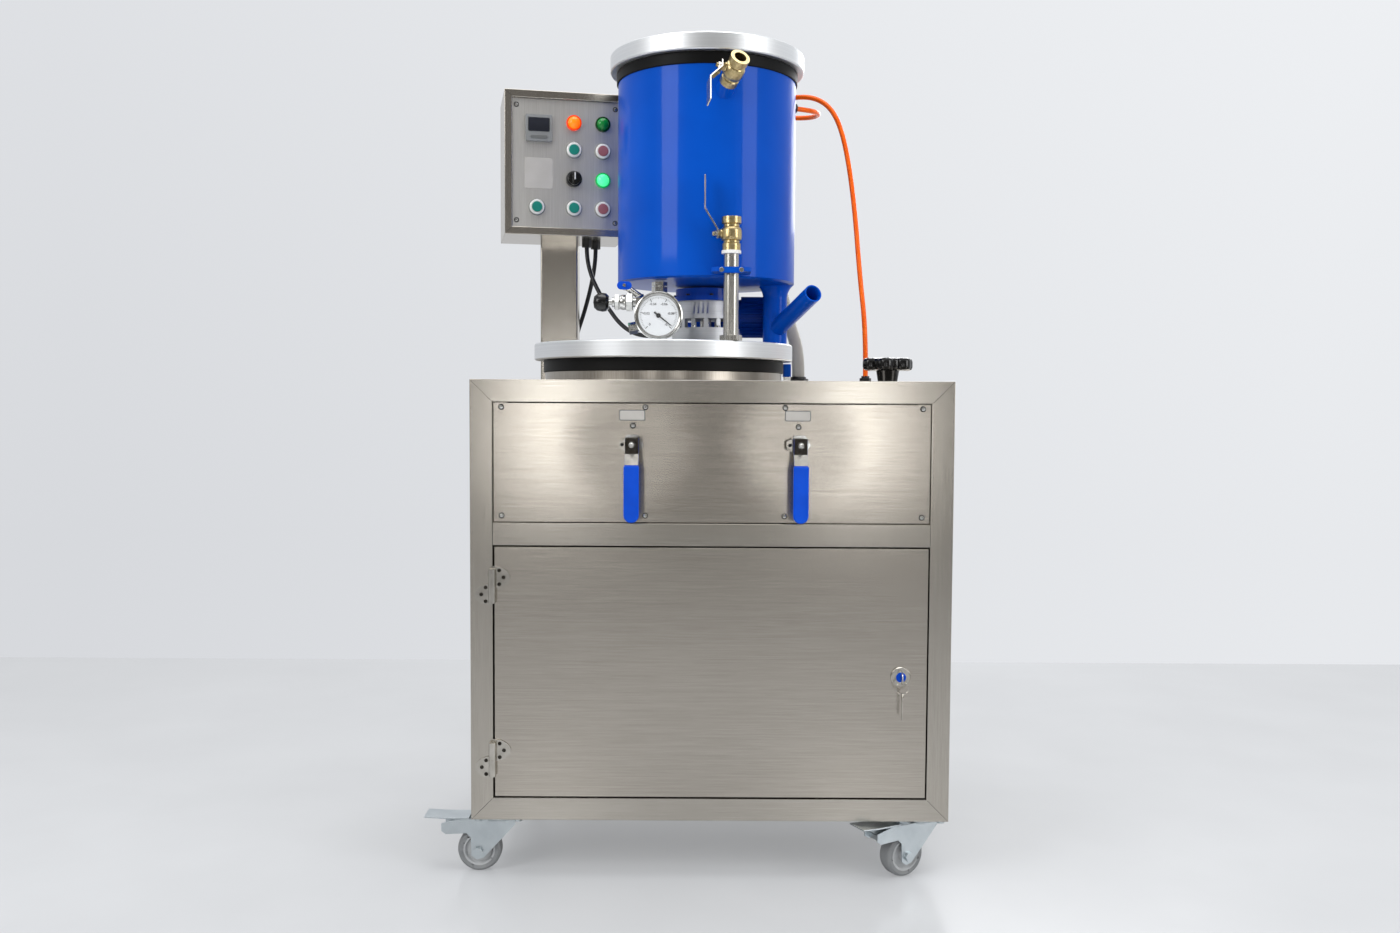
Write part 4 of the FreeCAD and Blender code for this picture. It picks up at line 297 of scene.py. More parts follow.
def moulded(name, light, dark, rough, grain=900.0, grain_height=0.0001, ior=1.48, glow=None):
    """glow is a hex colour and a strength, for a lit lens."""
    material, tree = start_material(name)
    place = object_pattern(tree)
    texture = add(tree, "ShaderNodeTexNoise", {"Vector": place, "Scale": grain, "Detail": 3.0})
    patch = add(tree, "ShaderNodeTexNoise", {"Vector": place, "Scale": 25.0, "Detail": 3.0})
    normal = add(tree, "ShaderNodeBump", {"Height": texture, "Strength": 0.4, "Distance": grain_height})
    fixed = {"IOR": ior}
    if glow:
        fixed.update({"Emission Color": colour(glow[0]), "Emission Strength": glow[1]})
    finish_material(tree, fixed, normal, patch, ((0.3, dark), (0.7, light)), (rough - 0.04, rough + 0.06))
    return material


black_rubber = moulded("black_epdm_rubber", "#0D0D0D", "#060606", 0.5, ior=1.25)
grey_rubber = moulded("grey_thermoplastic_rubber", "#8B8D8E", "#77797B", 0.55)
pale_ring = moulded("pale_nylon_rim", "#B9BBBC", "#A4A6A8", 0.4)
black_phenolic = moulded("black_phenolic", "#121212", "#070707", 0.16, 400.0, 0.00004)
black_nylon = moulded("black_nylon", "#191919", "#0E0E0E", 0.38)
blue_vinyl = moulded("blue_dipped_vinyl", "#004CCC", "#0044BC", 0.32, 500.0, 0.00006, 1.25)
white_acrylic = moulded("white_acrylic_ring", "#EDEDEA", "#DEDEDA", 0.14)
ptfe_tape = moulded("ptfe_thread_tape", "#F2F2EF", "#E2E2DE", 0.35, 700.0, 0.0004)
teal_cap = moulded("teal_acrylic_cap", "#128C7C", "#0B7A6C", 0.3)
red_cap = moulded("rose_acrylic_cap", "#A0656C", "#8F555C", 0.3)
bezel_grey = moulded("grey_display_bezel", "#8B8D8D", "#7D7F7F", 0.42)
screen_glass = moulded("dark_display_screen", "#2A2C34", "#20222A", 0.08)
label_silver = moulded("satin_label_foil", "#B9B6B1", "#AFACA7", 0.42)
patch_grey = moulded("dark_grey_label_edge", "#6E706F", "#626463", 0.45)
orange_tube = moulded("orange_polyurethane_tube", "#FF6C06", "#F55C00", 0.25, 300.0, 0.00005, 1.35)
cable_black = moulded("black_cable_jacket", "#1A1A1B", "#101011", 0.42)
dial_white = moulded("white_dial_card", "#E2E5E8", "#D9DCDF", 0.4, ior=1.3)
dial_ink = moulded("black_dial_ink", "#0A0A0A", "#050505", 0.6, ior=1.2)
# Black for the frame's seams, and for painted shade in the stop plates' holes.
seam_and_shade_black = moulded("shadow_gap_black", "#0C0C0C", "#060606", 0.7)


def lamp_plastic(name, light, dark, rough, glow=None):
    return moulded(name, light, dark, rough, 300.0, 0.00005, glow=glow)


amber_lens = lamp_plastic("lit_amber_lamp_lens", "#FF8A10", "#F56A04", 0.12, ("#FF6E08", 0.6))
green_lens = lamp_plastic("dark_green_lamp_lens", "#0F8A3A", "#0A7430", 0.12)
lit_lens = lamp_plastic("lit_green_lamp_lens", "#5CF0A0", "#3CE088", 0.12, ("#4CF59A", 0.8))
amber_flange = lamp_plastic("amber_lamp_flange", "#EE4408", "#D93A04", 0.18, ("#F03C04", 0.35))
green_flange = lamp_plastic("dark_green_lamp_flange", "#0A4A22", "#073A1A", 0.18)
lit_flange = lamp_plastic("lit_green_lamp_flange", "#12A256", "#0C8E48", 0.18, ("#10B35C", 0.3))
print("materials", len(bpy.data.materials))

# %% [markdown]
# ## Rounding the machined and folded pieces
#
# Real sheet, castings and turned parts never end in a razor edge: the small round catches a line
# of light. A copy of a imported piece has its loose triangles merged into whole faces, and then a
# narrow bevel on every edge sharper than 31 degrees. Its curved walls are shaded smooth.

# %% Soften edges
SHARP = math.radians(31)
FLAT = math.radians(0.6)


def take_material(piece, material):
    piece.data.materials.clear()
    piece.data.materials.append(material)


def link(name, mesh):
    piece = bpy.data.objects.new(name, mesh)
    scene.collection.objects.link(piece)
    return piece


def plain_mesh(piece):
    """The evaluated object as a plain mesh, with its modifiers removed."""
    bpy.context.view_layer.update()
    done = piece.evaluated_get(bpy.context.evaluated_depsgraph_get())
    mesh = bpy.data.meshes.new_from_object(done)
    piece.modifiers.clear()
    piece.data = mesh
    return piece


def shade_by_angle(mesh, angle=SHARP):
    for polygon in mesh.polygons:
        polygon.use_smooth = True
    mesh.set_sharp_from_angle(angle=angle)


def clean_copy(node):
    """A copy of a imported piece's mesh, with its loose triangles merged into whole faces."""
    mesh = nodes[node].data.copy()
    work = bmesh.new()
    work.from_mesh(mesh)
    bmesh.ops.remove_doubles(work, verts=work.verts, dist=0.000005)
    bmesh.ops.dissolve_limit(work, angle_limit=FLAT, verts=work.verts, edges=work.edges)
    work.to_mesh(mesh)
    work.free()
    return mesh


def soften(node, material, radius=0.6, segments=2, faces=()):
    """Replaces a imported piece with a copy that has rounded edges. The radius is in mm.

    faces lists (material, test) pairs: where a face's middle, in mm, passes the test, it takes
    that material.
    """
    mesh = clean_copy(node)
    mesh.materials.clear()
    mesh.materials.append(material)
    for index, (other, test) in enumerate(faces, start=1):
        mesh.materials.append(other)
        for polygon in mesh.polygons:
            if test(polygon.center / MM):
                polygon.material_index = index
    shade_by_angle(mesh)
    piece = link(node + "_dressed", mesh)
    bevel = piece.modifiers.new("round", "BEVEL")
    bevel.width = radius * MM
    bevel.segments = segments
    bevel.limit_method = "ANGLE"
    bevel.angle_limit = SHARP
    weigh = piece.modifiers.new("flat_faces_stay_flat", "WEIGHTED_NORMAL")
    weigh.keep_sharp = True
    weigh.weight = 90
    plain_mesh(piece)
    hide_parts(node)
    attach(piece, body_of_node[node])
    return piece


def ride_with(piece, node):
    """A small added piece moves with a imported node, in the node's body."""
    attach(piece, body_of_node[node])
    return piece


# %% [markdown]
# ## Cabinet
#
# The frame is welded from 40 mm square tube with mitred corners, so the grain changes direction
# on a 45 degree line. Each face of the frame takes the grain of the tube that it belongs to.

# %% Cabinet frame and sheets
TUBE = 40.0
frame_low, frame_high = corners("frame")
FRONT_Y, SIDE_X = frame_low.y, frame_high.x


def upright(middle):
    """True on the four posts, up to the mitre lines of the front and back."""
    outward = abs(middle.x) - SIDE_X + TUBE
    if outward <= 0:
        return False
    from_end = min(middle.z - frame_low.z, frame_high.z - middle.z)
    near_face = min(middle.y - frame_low.y, frame_high.y - middle.y) < TUBE
    return near_face and from_end > TUBE - outward - 1


def fore_and_aft(middle):
    return abs(middle.x) > SIDE_X - TUBE and frame_low.y + TUBE < middle.y < frame_high.y - TUBE


fascia_steel = brushed_steel("satin_fascia_steel", 2, "#DBD9D5", "#CBC9C4", (0.4, 0.5))
soften("frame", steel_along_x, 1.2, 3, [(steel_along_z, upright), (steel_along_y, fore_and_aft)])
for node, material, radius in (
        ("body_panels", steel_along_z, 0.6), ("deck", steel_along_x, 0.6),
        ("front_panel", panel_steel, 0.8), ("door", panel_steel, 1.0),
        ("control_post", steel_along_z, 1.0), ("control_box", steel_along_z, 1.0),
        ("control_fascia", fascia_steel, 0.3)):
    soften(node, material, radius)
print("cabinet dressed")

# %% [markdown]
# ## Tank, vessel and drive
#
# The two lids are turned plate, the tank is painted, and what touches the mix is stainless. The
# riser pipe ends in a few turns of white thread tape under its brass valve.

# %% Tank, vessel and drive
for node, material, radius in (
        ("tank", blue_enamel, 0.8), ("tank_lid", tank_lid_metal, 0.6),
        ("vessel_lid", vessel_lid_metal, 0.6), ("vessel", vessel_steel, 0.5),
        ("rubber_rings", black_rubber, 1.5), ("bearing_housing", housing_metal, 0.6),
        ("gear_motor", drive_enamel, 0.8), ("agitator", polished_steel, 0.6),
        ("vacuum_pump", pump_enamel, 1.0), ("brass_valves", valve_brass, 0.5),
        ("outlet_lever", nickel, 0.4), ("top_lever", nickel, 0.4),
        ("gauge_manifold", polished_steel, 0.4), ("gauge", polished_steel, 0.5),
        ("relief_knob", black_phenolic, 0.8), ("bleed_lever", blue_vinyl, 0.8)):
    soften(node, material, radius)
soften("handwheel", black_phenolic, 1.5, 3)

TAPE_HEIGHT = 6.5
tape_bottom = corners("riser_pipe")[1].z - TAPE_HEIGHT
pipe_steel = brushed_steel("brushed_stainless_pipe", 2, "#BEBCB6", "#9E9C95", (0.2, 0.34))
soften("riser_pipe", pipe_steel, 0.4, 2, [(ptfe_tape, lambda middle: middle.z > tape_bottom)])
print("tank, vessel and drive dressed")

# %% [markdown]
# ## Small hardware
#
# A valve handle is one folded strap: bare nickel above, a dark nut round the spindle and a dipped
# blue grip below. A castor wheel is a pale hub in a grey tyre.

# %% Small hardware
GRIP_BELOW_TOP = 45.0
NUT_BELOW_TOP = 30.0
HUB_REACH = 30.0
PLUG_BACK_Y = -278.0
for side in ("left", "right"):
    handle_top = corners(side + "_valve_handle")[1].z
    soften(side + "_valve_handle", blue_vinyl, 0.6, 2,
           [(nickel, lambda middle: middle.z > handle_top - GRIP_BELOW_TOP),
            (dark_steel, lambda middle: middle.z > handle_top - NUT_BELOW_TOP)])
for corner in ("fl", "fr", "rl", "rr"):
    soften("castor_fork_" + corner, zinc, 0.5)
    wheel_low, wheel_high = corners("castor_wheel_" + corner)
    axle = (wheel_low + wheel_high) / 2
    soften("castor_wheel_" + corner, grey_rubber, 0.8, 2,
           [(pale_ring, lambda middle: (middle - axle).length < HUB_REACH)])
soften("lock_plug", blue_vinyl, 0.3, 2, [(zinc, lambda middle: middle.y > PLUG_BACK_Y)])
for names, material, radius in (
        (("front_valves",), polished_steel, 0.4),
        (("hinge_frame_leaves", "hinge_door_leaves", "lock_housing", "door_key", "key_ring"), nickel, 0.3),
        (("castor_plates", "brake_pedal_fl", "brake_pedal_fr"), zinc, 0.5),
        (("display_unit",), bezel_grey, 0.4),
        (("button_collars",), white_acrylic, 0.5),
        (("selector_knob",), black_phenolic, 0.5),
        (("start_button", "pump_button", "mixer_button"), teal_cap, 0.5),
        (("stop_button", "reset_button"), red_cap, 0.5),
        (("hose_fittings",), black_nylon, 0.4)):
    for node in names:
        soften(node, material, radius)
print("small hardware dressed")

# %% [markdown]
# ## Small shapes
#
# Screws, rings, plates and lamps are drawn flat on the ground, facing up, and then stood up where
# they belong. The control box is turned a little towards the operator, so what sits on its front
# is placed in the box's own axes.

# %% Helpers for small shapes
LAY_ON_FRONT = Matrix.Rotation(math.pi / 2, 4, "X")
BOX_TURN = math.radians(12)
BOX_MIDDLE = centre("control_box")
BOX_BOTTOM = corners("control_box")[0].z
FASCIA_Y = -76.5


def at(x, y, z):
    return Matrix.Translation(Vector((x, y, z)) * MM)


def on_front(x, y, z):
    """A place on the cabinet's front, facing forwards."""
    return at(x, y, z) @ LAY_ON_FRONT


def on_fascia(x, z, proud=0.0):
    """A place on the control box's front, in mm on the box's own axes."""
    box_place = at(BOX_MIDDLE.x, BOX_MIDDLE.y, BOX_BOTTOM) @ Matrix.Rotation(BOX_TURN, 4, "Z")
    return box_place @ on_front(x, FASCIA_Y - proud, z)


def make(name, work, place, material, node):
    """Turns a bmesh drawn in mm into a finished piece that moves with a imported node."""
    bmesh.ops.remove_doubles(work, verts=work.verts, dist=0.0005)
    bmesh.ops.recalc_face_normals(work, faces=work.faces)
    mesh = bpy.data.meshes.new(name)
    work.to_mesh(mesh)
    work.free()
    mesh.transform(place @ Matrix.Scale(MM, 4))
    shade_by_angle(mesh)
    piece = link(name, mesh)
    take_material(piece, material)
    return ride_with(piece, node)


def turned_mesh(profile, sides=48):
    """A lathe shape about Z from (radius, height) points in mm."""
    work = bmesh.new()
    points = [work.verts.new((r, 0, z)) for r, z in profile]
    edges = [work.edges.new(pair) for pair in zip(points, points[1:])]
    bmesh.ops.spin(work, geom=points + edges, cent=(0, 0, 0), axis=(0, 0, 1), angle=2 * math.pi, steps=sides)
    bmesh.ops.remove_doubles(work, verts=work.verts, dist=0.0005)
    return work


def slab_mesh(width, height, thick, corner=0.0, edge=0.25):
    """A flat plate with rounded corners and a soft edge, standing on Z = 0."""
    work = bmesh.new()
    bmesh.ops.create_cube(work, size=1.0)
    bmesh.ops.scale(work, vec=(width, height, thick), verts=work.verts)
    bmesh.ops.translate(work, vec=(0, 0, thick / 2), verts=work.verts)
    if corner:
        upright_edges = [e for e in work.edges if abs(e.verts[0].co.z - e.verts[1].co.z) > thick / 2]
        bmesh.ops.bevel(work, geom=upright_edges, offset=corner, segments=5, affect="EDGES")
    rim = [e for e in work.edges if min(v.co.z for v in e.verts) > thick - 0.001]
    bmesh.ops.bevel(work, geom=rim, offset=min(edge, thick * 0.4), segments=2, affect="EDGES")
    return work


def ring_points(radius, count, start=0.0):
    """Evenly spaced (x, y) points round a circle, from a start angle in degrees."""
    angles = [math.radians(start) + 2 * math.pi * i / count for i in range(count)]
    return [(radius * math.cos(a), radius * math.sin(a)) for a in angles]


def loft(work, rings, closed=False):
    """Joins rings of as many vertices each, and caps the two ends of an open row of rings."""
    followers = rings[1:] + rings[:1] if closed else rings[1:]
    for first, second in zip(rings, followers):
        for k in range(len(first)):
            n = (k + 1) % len(first)
            work.faces.new((first[k], first[n], second[n], second[k]))
    if not closed:
        work.faces.new(rings[-1])
        work.faces.new(list(reversed(rings[0])))
    return work


def plate_mesh(outline, thick):
    """A flat plate with any outline, standing on Z = 0."""
    work = bmesh.new()
    return loft(work, [[work.verts.new((x, y, z)) for x, y in outline] for z in (0.0, thick)])


# %% [markdown]
# ## Screws
#
# One pan head screw with a cross recess is placed at every point of a small point cloud by a
# Geometry Nodes tree. Each screw gets its own slight turn, since no fitter lines up the slots.

# %% Screws


def cross_screw(name, radius, height):
    """A domed head with a cross recess, cut out of it by a Boolean modifier."""
    dome = [(0.0, height), (0.45 * radius, 0.97 * height), (0.8 * radius, 0.75 * height),
            (0.97 * radius, 0.35 * height), (radius, 0.0)]
    work = turned_mesh(dome, 32)
    head = bpy.data.meshes.new(name + "_head")
    work.to_mesh(head)
    work.free()
    piece = link(name, head)
    cutter_work = bmesh.new()
    for size in ((1.1, 0.26, 1.0), (0.26, 1.1, 1.0)):
        made = bmesh.ops.create_cube(cutter_work, size=1.0)["verts"]
        bmesh.ops.scale(cutter_work, vec=(size[0] * radius, size[1] * radius, height), verts=made)
        bmesh.ops.translate(cutter_work, vec=(0, 0, 0.85 * height), verts=made)
    cutter_mesh = bpy.data.meshes.new(name + "_cutter")
    cutter_work.to_mesh(cutter_mesh)
    cutter_work.free()
    cutter = link(name + "_cutter", cutter_mesh)
    cut = piece.modifiers.new("recess", "BOOLEAN")
    cut.object = cutter
    cut.operation = "DIFFERENCE"
    cut.use_self = True
    plain_mesh(piece)
    bpy.data.objects.remove(cutter)
    piece.data.transform(Matrix.Scale(MM, 4))
    shade_by_angle(piece.data)
    return piece


def screw_tree():
    """Instances of one screw on the points of a mesh, turned to face one way."""
    tree = bpy.data.node_groups.new("place_screws", "GeometryNodeTree")
    for label, kind in (("Geometry", "NodeSocketGeometry"), ("Screw", "NodeSocketObject"),
                        ("Facing", "NodeSocketRotation"), ("Finish", "NodeSocketMaterial")):
        tree.interface.new_socket(name=label, in_out="INPUT", socket_type=kind)
    tree.interface.new_socket(name="Geometry", in_out="OUTPUT", socket_type="NodeSocketGeometry")
    source = add(tree, "NodeGroupInput").outputs
    screw = add(tree, "GeometryNodeObjectInfo", {"Object": source["Screw"]})
    spin = add(tree, "FunctionNodeRandomValue", {"Max": 2 * math.pi, "Seed": 7}, data_type="FLOAT")
    own_turn = add(tree, "ShaderNodeCombineXYZ", {"Z": spin.outputs[1]})
    spun = add(tree, "FunctionNodeEulerToRotation", {"Euler": own_turn})
    turns = {"Rotation": source["Facing"], "Rotate By": spun}
    facing = add(tree, "FunctionNodeRotateRotation", turns, rotation_space="LOCAL")
    placed = add(tree, "GeometryNodeInstanceOnPoints", {
        "Points": source["Geometry"], "Instance": screw.outputs["Geometry"], "Rotation": facing})
    real = add(tree, "GeometryNodeRealizeInstances", {"Geometry": placed})
    finished = add(tree, "GeometryNodeSetMaterial", {"Geometry": real, "Material": source["Finish"]})
    add(tree, "NodeGroupOutput", {"Geometry": finished})
    return tree


SCREWS = screw_tree()
SOCKETS = {item.name: item.identifier for item in SCREWS.interface.items_tree if item.in_out == "INPUT"}


def place_screws(name, screw, points, facing, material, node):
    """points are in mm, facing is a rotation that stands a screw up from the ground."""
    mesh = bpy.data.meshes.new(name)
    mesh.from_pydata([Vector(p) * MM for p in points], [], [])
    piece = link(name, mesh)
    nodes_modifier = piece.modifiers.new("screws", "NODES")
    nodes_modifier.node_group = SCREWS
    nodes_modifier[SOCKETS["Screw"]] = screw
    nodes_modifier[SOCKETS["Facing"]] = facing.to_euler()
    nodes_modifier[SOCKETS["Finish"]] = material
    plain_mesh(piece)
    return ride_with(piece, node)


def fit_screws(name, screw, places, node):
    """Screws, each on a thin ring in black nylon's material that is painted shade round its head: places are
    matrices that stand each one up.
    """
    # The black ring round each head is painted shade, not a real washer.
    screw_shade_ring = [(3.6, 0.0), (3.6, 0.35), (5.0, 0.35), (5.3, 0.15), (5.3, 0.0)]
    points = [(place.translation / MM)[:] for place in places]
    place_screws(name + "_screws", screw, points, places[0].to_3x3(), polished_steel, node)
    for number, place in enumerate(places):
        make("%s_gasket_%d" % (name, number), turned_mesh(screw_shade_ring, 32), place, black_nylon, node)


panel_screw = cross_screw("panel_screw", 4.0, 2.2)
hinge_screw = cross_screw("hinge_screw", 3.5, 1.3)
fascia_screw = cross_screw("fascia_screw", 3.2, 1.6)
PANEL_Y = corners("front_panel")[0].y
PANEL_SCREWS = [(-374, 851), (374, 851), (-374, 658), (374, 658), (-118.5, 852), (-118.5, 659),
                (129.5, 852), (129.5, 659), (-140.5, 819), (153, 818)]
FASCIA_SCREWS = [(-101, 261), (101, 261), (-101, 29), (101, 29)]
fit_screws("panel", panel_screw, [on_front(x, PANEL_Y, z) for x, z in PANEL_SCREWS], "front_panel")
fit_screws("fascia", fascia_screw, [on_fascia(x, z) for x, z in FASCIA_SCREWS], "control_fascia")

HINGE_REACH, HINGE_HALF, LEAF_OFFSET, LEAF = 32.0, 20.0, 15.25, 2.5
LEAF_HOLES = ((0.62, 0.0), (0.38, 0.62), (0.38, -0.62))
leaf_low, leaf_high = corners("hinge_door_leaves")
hinge_heights = [leaf_low.z + HINGE_HALF - LEAF_OFFSET, leaf_high.z - HINGE_HALF - LEAF_OFFSET]
door_y = corners("door")[0].y
for side, face, node in ((-1, FRONT_Y, "hinge_frame_leaves"), (1, door_y, "hinge_door_leaves")):
    spots = [(TUBE - SIDE_X + side * dx * HINGE_REACH, face - LEAF, z + side * LEAF_OFFSET + dz * HINGE_HALF)
             for z in hinge_heights for dx, dz in LEAF_HOLES]
    place_screws(node + "_screws", hinge_screw, spots, LAY_ON_FRONT.to_3x3(), dark_steel, node)
for screw in (panel_screw, hinge_screw, fascia_screw):
    bpy.data.objects.remove(screw)
print("screws placed")

# %% [markdown]
# ## Labels and seams
#
# The two small label plates above the valves and the film beside the display are left blank. The
# frame's corners show the thin line where the tubes were mitred, welded and ground flush.

# %% Labels and seams
LABEL_Z = 837.5
MID_RAIL_MIDDLE = 625.0
SEAM_THICK = 0.12
BOX_HALF, BOX_TOP, BOX_RIM, RIM_PROUD = 125.0, 290.0, 15.0, 6.0
for side, x in (("left", -142.0), ("right", 152.0)):
    place = on_front(x, PANEL_Y, LABEL_Z)
    make(side + "_label_plate", slab_mesh(46, 19, 0.8, 1.2), place, patch_grey, "front_panel")
    make(side + "_label_field", slab_mesh(43.5, 16.5, 1.0, 0.8), place, label_silver, "front_panel")
film = slab_mesh(57, 62, 0.3, 2.0, 0.1)
make("blank_label_film", film, on_fascia(-56, 125), label_silver, "control_fascia")


def seam(name, place, width, height, node):
    make(name, slab_mesh(width, height, SEAM_THICK, 0.0, 0.04), place, seam_and_shade_black, node)


for side, sx in (("left", -1), ("right", 1)):
    for end, sz in (("low", 1), ("high", -1)):
        lean = Matrix.Rotation(math.radians(45) * -sx * sz, 4, "Z")
        ends = "_%s_%s" % (side, end)
        corner_z = frame_low.z if end == "low" else frame_high.z
        place = on_front(sx * (SIDE_X - TUBE / 2), FRONT_Y, corner_z + sz * TUBE / 2)
        seam("mitre_seam" + ends, place @ lean, TUBE * math.sqrt(2) - 4, 0.5, "frame")
        rim_z = 0.0 if end == "low" else BOX_TOP
        place = on_fascia(sx * (BOX_HALF - BOX_RIM / 2), rim_z + sz * BOX_RIM / 2, RIM_PROUD)
        seam("box_seam" + ends, place @ lean, BOX_RIM * math.sqrt(2) - 2, 0.4, "control_box")
    place = on_front(sx * (SIDE_X - TUBE), FRONT_Y, MID_RAIL_MIDDLE)
    seam("rail_seam_" + side, place, 0.5, TUBE - 4, "frame")
print("labels and seams placed")

# %% [markdown]
# ## Control front
#
# The display has a dark screen in a moulded bezel. The lamps are domed lenses in black rings: one
# glows amber, one is off, and one is lit green. Under each push button is a thin grey ring.

# %% Control front
LEFT_COLUMN, MIDDLE_COLUMN, RIGHT_COLUMN = -56.0, 15.5, 75.0
TOP_ROW, UPPER_ROW, SELECTOR_ROW, LOW_ROW = 229.0, 174.0, 115.0, 56.0
DOME = [(0.0, 16.0), (4.0, 15.6), (8.0, 14.0), (11.0, 11.0), (12.4, 7.0), (12.6, 3.0)]
LAMP_RING = [(12.6, 0.0), (12.6, 6.0), (13.6, 7.0), (15.0, 6.6), (15.6, 5.6), (15.6, 0.0)]
FLAT_RING = [(15.0, 0.0), (15.0, 2.2), (16.6, 1.8), (17.0, 0.8), (17.0, 0.0)]
SELECTOR_RING = [(12.6, 8.0), (12.6, 10.4), (14.0, 11.0), (15.9, 10.0), (16.2, 8.0), (16.2, 0.0)]

screen, bar = slab_mesh(42, 27, 1.0, 1.0), slab_mesh(38, 6, 0.8, 2.5)
make("display_screen", screen, on_fascia(LEFT_COLUMN, 221, 7.6), screen_glass, "display_unit")
make("display_button_bar", bar, on_fascia(LEFT_COLUMN, 196.5, 8.0), patch_grey, "display_unit")
for name, x, z, lens, flange in (("amber", MIDDLE_COLUMN, TOP_ROW, amber_lens, amber_flange),
                                 ("dark_green", RIGHT_COLUMN, TOP_ROW, green_lens, green_flange),
                                 ("lit_green", RIGHT_COLUMN, SELECTOR_ROW, lit_lens, lit_flange)):
    lamp = make(name + "_lamp", turned_mesh(DOME), on_fascia(x, z), lens, "pilot_lamps")
    make(name + "_lamp_ring", turned_mesh(LAMP_RING), on_fascia(x, z), flange, "pilot_lamps")
    if name == "amber":
        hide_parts("pilot_lamps")
for name, x, z in (("start", MIDDLE_COLUMN, UPPER_ROW), ("stop", RIGHT_COLUMN, UPPER_ROW),
                   ("pump", LEFT_COLUMN - 4, LOW_ROW), ("mixer", MIDDLE_COLUMN, LOW_ROW),
                   ("reset", RIGHT_COLUMN, LOW_ROW)):
    make(name + "_base_ring", turned_mesh(FLAT_RING), on_fascia(x, z), bezel_grey, "button_collars")
make("selector_ring", turned_mesh(SELECTOR_RING), on_fascia(MIDDLE_COLUMN, SELECTOR_ROW), black_nylon,
     "button_collars")
make("selector_line", slab_mesh(2.4, 15, 0.5, 0.6, 0.1), on_fascia(MIDDLE_COLUMN, SELECTOR_ROW + 3.5, 25.3),
     white_acrylic, "selector_knob")
print("control front dressed")

# %% [markdown]
# ## Vacuum gauge
#
# A white card with 51 fine ticks over 270 degrees, plain numbers, a black pointer with a counterweight
# and a clear window. A vacuum scale counts down from nought.

# %% Gauge dial
GLASS_SINK = 3.0
DIAL_R = 37.6
TICKS = 50
TICK_END = 34.5
SWEEP = math.radians(270)
PRINT_PROUD = 0.45
GAUGE_CENTRE = centre("gauge")
DIAL_Y = corners("gauge")[0].y + GLASS_SINK


def on_dial(proud, turn=0.0):
    return on_front(GAUGE_CENTRE.x, DIAL_Y - proud, GAUGE_CENTRE.z) @ Matrix.Rotation(turn, 4, "Z")


def tick_angle(share):
    """Clockwise from the lower left to the lower right."""
    return math.radians(225) - SWEEP * share


dial_card = turned_mesh([(0.0, 0.3), (DIAL_R, 0.3), (DIAL_R, 0.0)], 72)
make("gauge_dial", dial_card, on_dial(0.0), dial_white, "gauge")
ticks = bmesh.new()
for i in range(TICKS + 1):
    long_tick = i % 10 == 0
    start = 28.5 if long_tick else 30.5 if i % 5 == 0 else 32.0
    half = 0.6 if long_tick else 0.3
    tick_turn = Matrix.Rotation(tick_angle(i / TICKS), 4, "Z")
    outline = [(start, -half), (TICK_END, -half), (TICK_END, half), (start, half)]
    ticks.faces.new([ticks.verts.new(tick_turn @ Vector((x, y, 0))) for x, y in outline])
make("gauge_ticks", ticks, on_dial(PRINT_PROUD), dial_ink, "gauge")
print("gauge ticks", TICKS + 1)

# %% [markdown]
# The numbers are text objects made into meshes, since only meshes are handed on. Ink has no
# thickness, so they stand a little proud of the card, as the ticks do. The pointer turns on a hub
# in front of them, behind a thin clear window in a rolled steel bezel.

# %% Gauge numbers and needle
NUMBER_SIZE = 6.4
NUMBER_REACH_X, NUMBER_REACH_Y = 23.0, 23.5
NEEDLE = [(-10.0, -2.0), (-3.0, -1.5), (30.0, -0.7), (31.5, 0.0), (30.0, 0.7), (-3.0, 1.5), (-10.0, 2.0)]
HUB = [(0.0, 1.8), (3.6, 1.6), (4.4, 0.9), (4.4, 0.0)]
WINDOW = [(0.0, 0.6), (37.8, 0.6), (37.8, 0.0), (0.0, 0.0)]
BEZEL = [(37.9, 0.0), (38.3, 2.6), (40.6, 3.4), (42.8, 2.9), (43.4, 1.6), (43.4, 0.4)]


def print_number(name, text, angle):
    words = bpy.data.curves.new(name, "FONT")
    words.body = text
    words.size = NUMBER_SIZE
    words.offset = 0.08
    words.align_x = "CENTER"
    words.align_y = "CENTER"
    number = bpy.data.objects.new(name, words)
    scene.collection.objects.link(number)
    mesh = bpy.data.meshes.new_from_object(number)
    bpy.data.objects.remove(number)
    out = Matrix.Translation((NUMBER_REACH_X * math.cos(angle), NUMBER_REACH_Y * math.sin(angle), 0))
    mesh.transform(on_dial(PRINT_PROUD) @ Matrix.Scale(MM, 4) @ out)
    piece = link(name, mesh)
    take_material(piece, dial_ink)
    ride_with(piece, "gauge")


for i, text in enumerate(("0", "-0.02", "-0.04", "-0.06", "-0.08", "-0.1")):
    print_number("gauge_number_%d" % i, text, tick_angle(i / 5))
make("gauge_needle", plate_mesh(NEEDLE, 0.5), on_dial(1.0, math.radians(-38)), dial_ink, "gauge")
make("gauge_hub", turned_mesh(HUB, 32), on_dial(0.5), dial_ink, "gauge")
window, tree = start_material("clear_gauge_window")
smear = add(tree, "ShaderNodeTexNoise", {"Vector": object_pattern(tree), "Scale": 60.0, "Detail": 2.0})
gloss = add(tree, "ShaderNodeMapRange", {"Value": smear, "To Min": 0.02, "To Max": 0.05})
clear = {"Base Color": colour("#FFFFFF"), "Alpha": 0.04, "Roughness": gloss}
add(tree, "ShaderNodeOutputMaterial", {"Surface": add(tree, "ShaderNodeBsdfPrincipled", clear)})
make("gauge_window", turned_mesh(WINDOW, 72), on_dial(2.0), window, "gauge")
make("gauge_bezel_ring", turned_mesh(BEZEL, 72), on_dial(0.0), polished_steel, "gauge")
print("the gauge's middle", tuple(GAUGE_CENTRE))

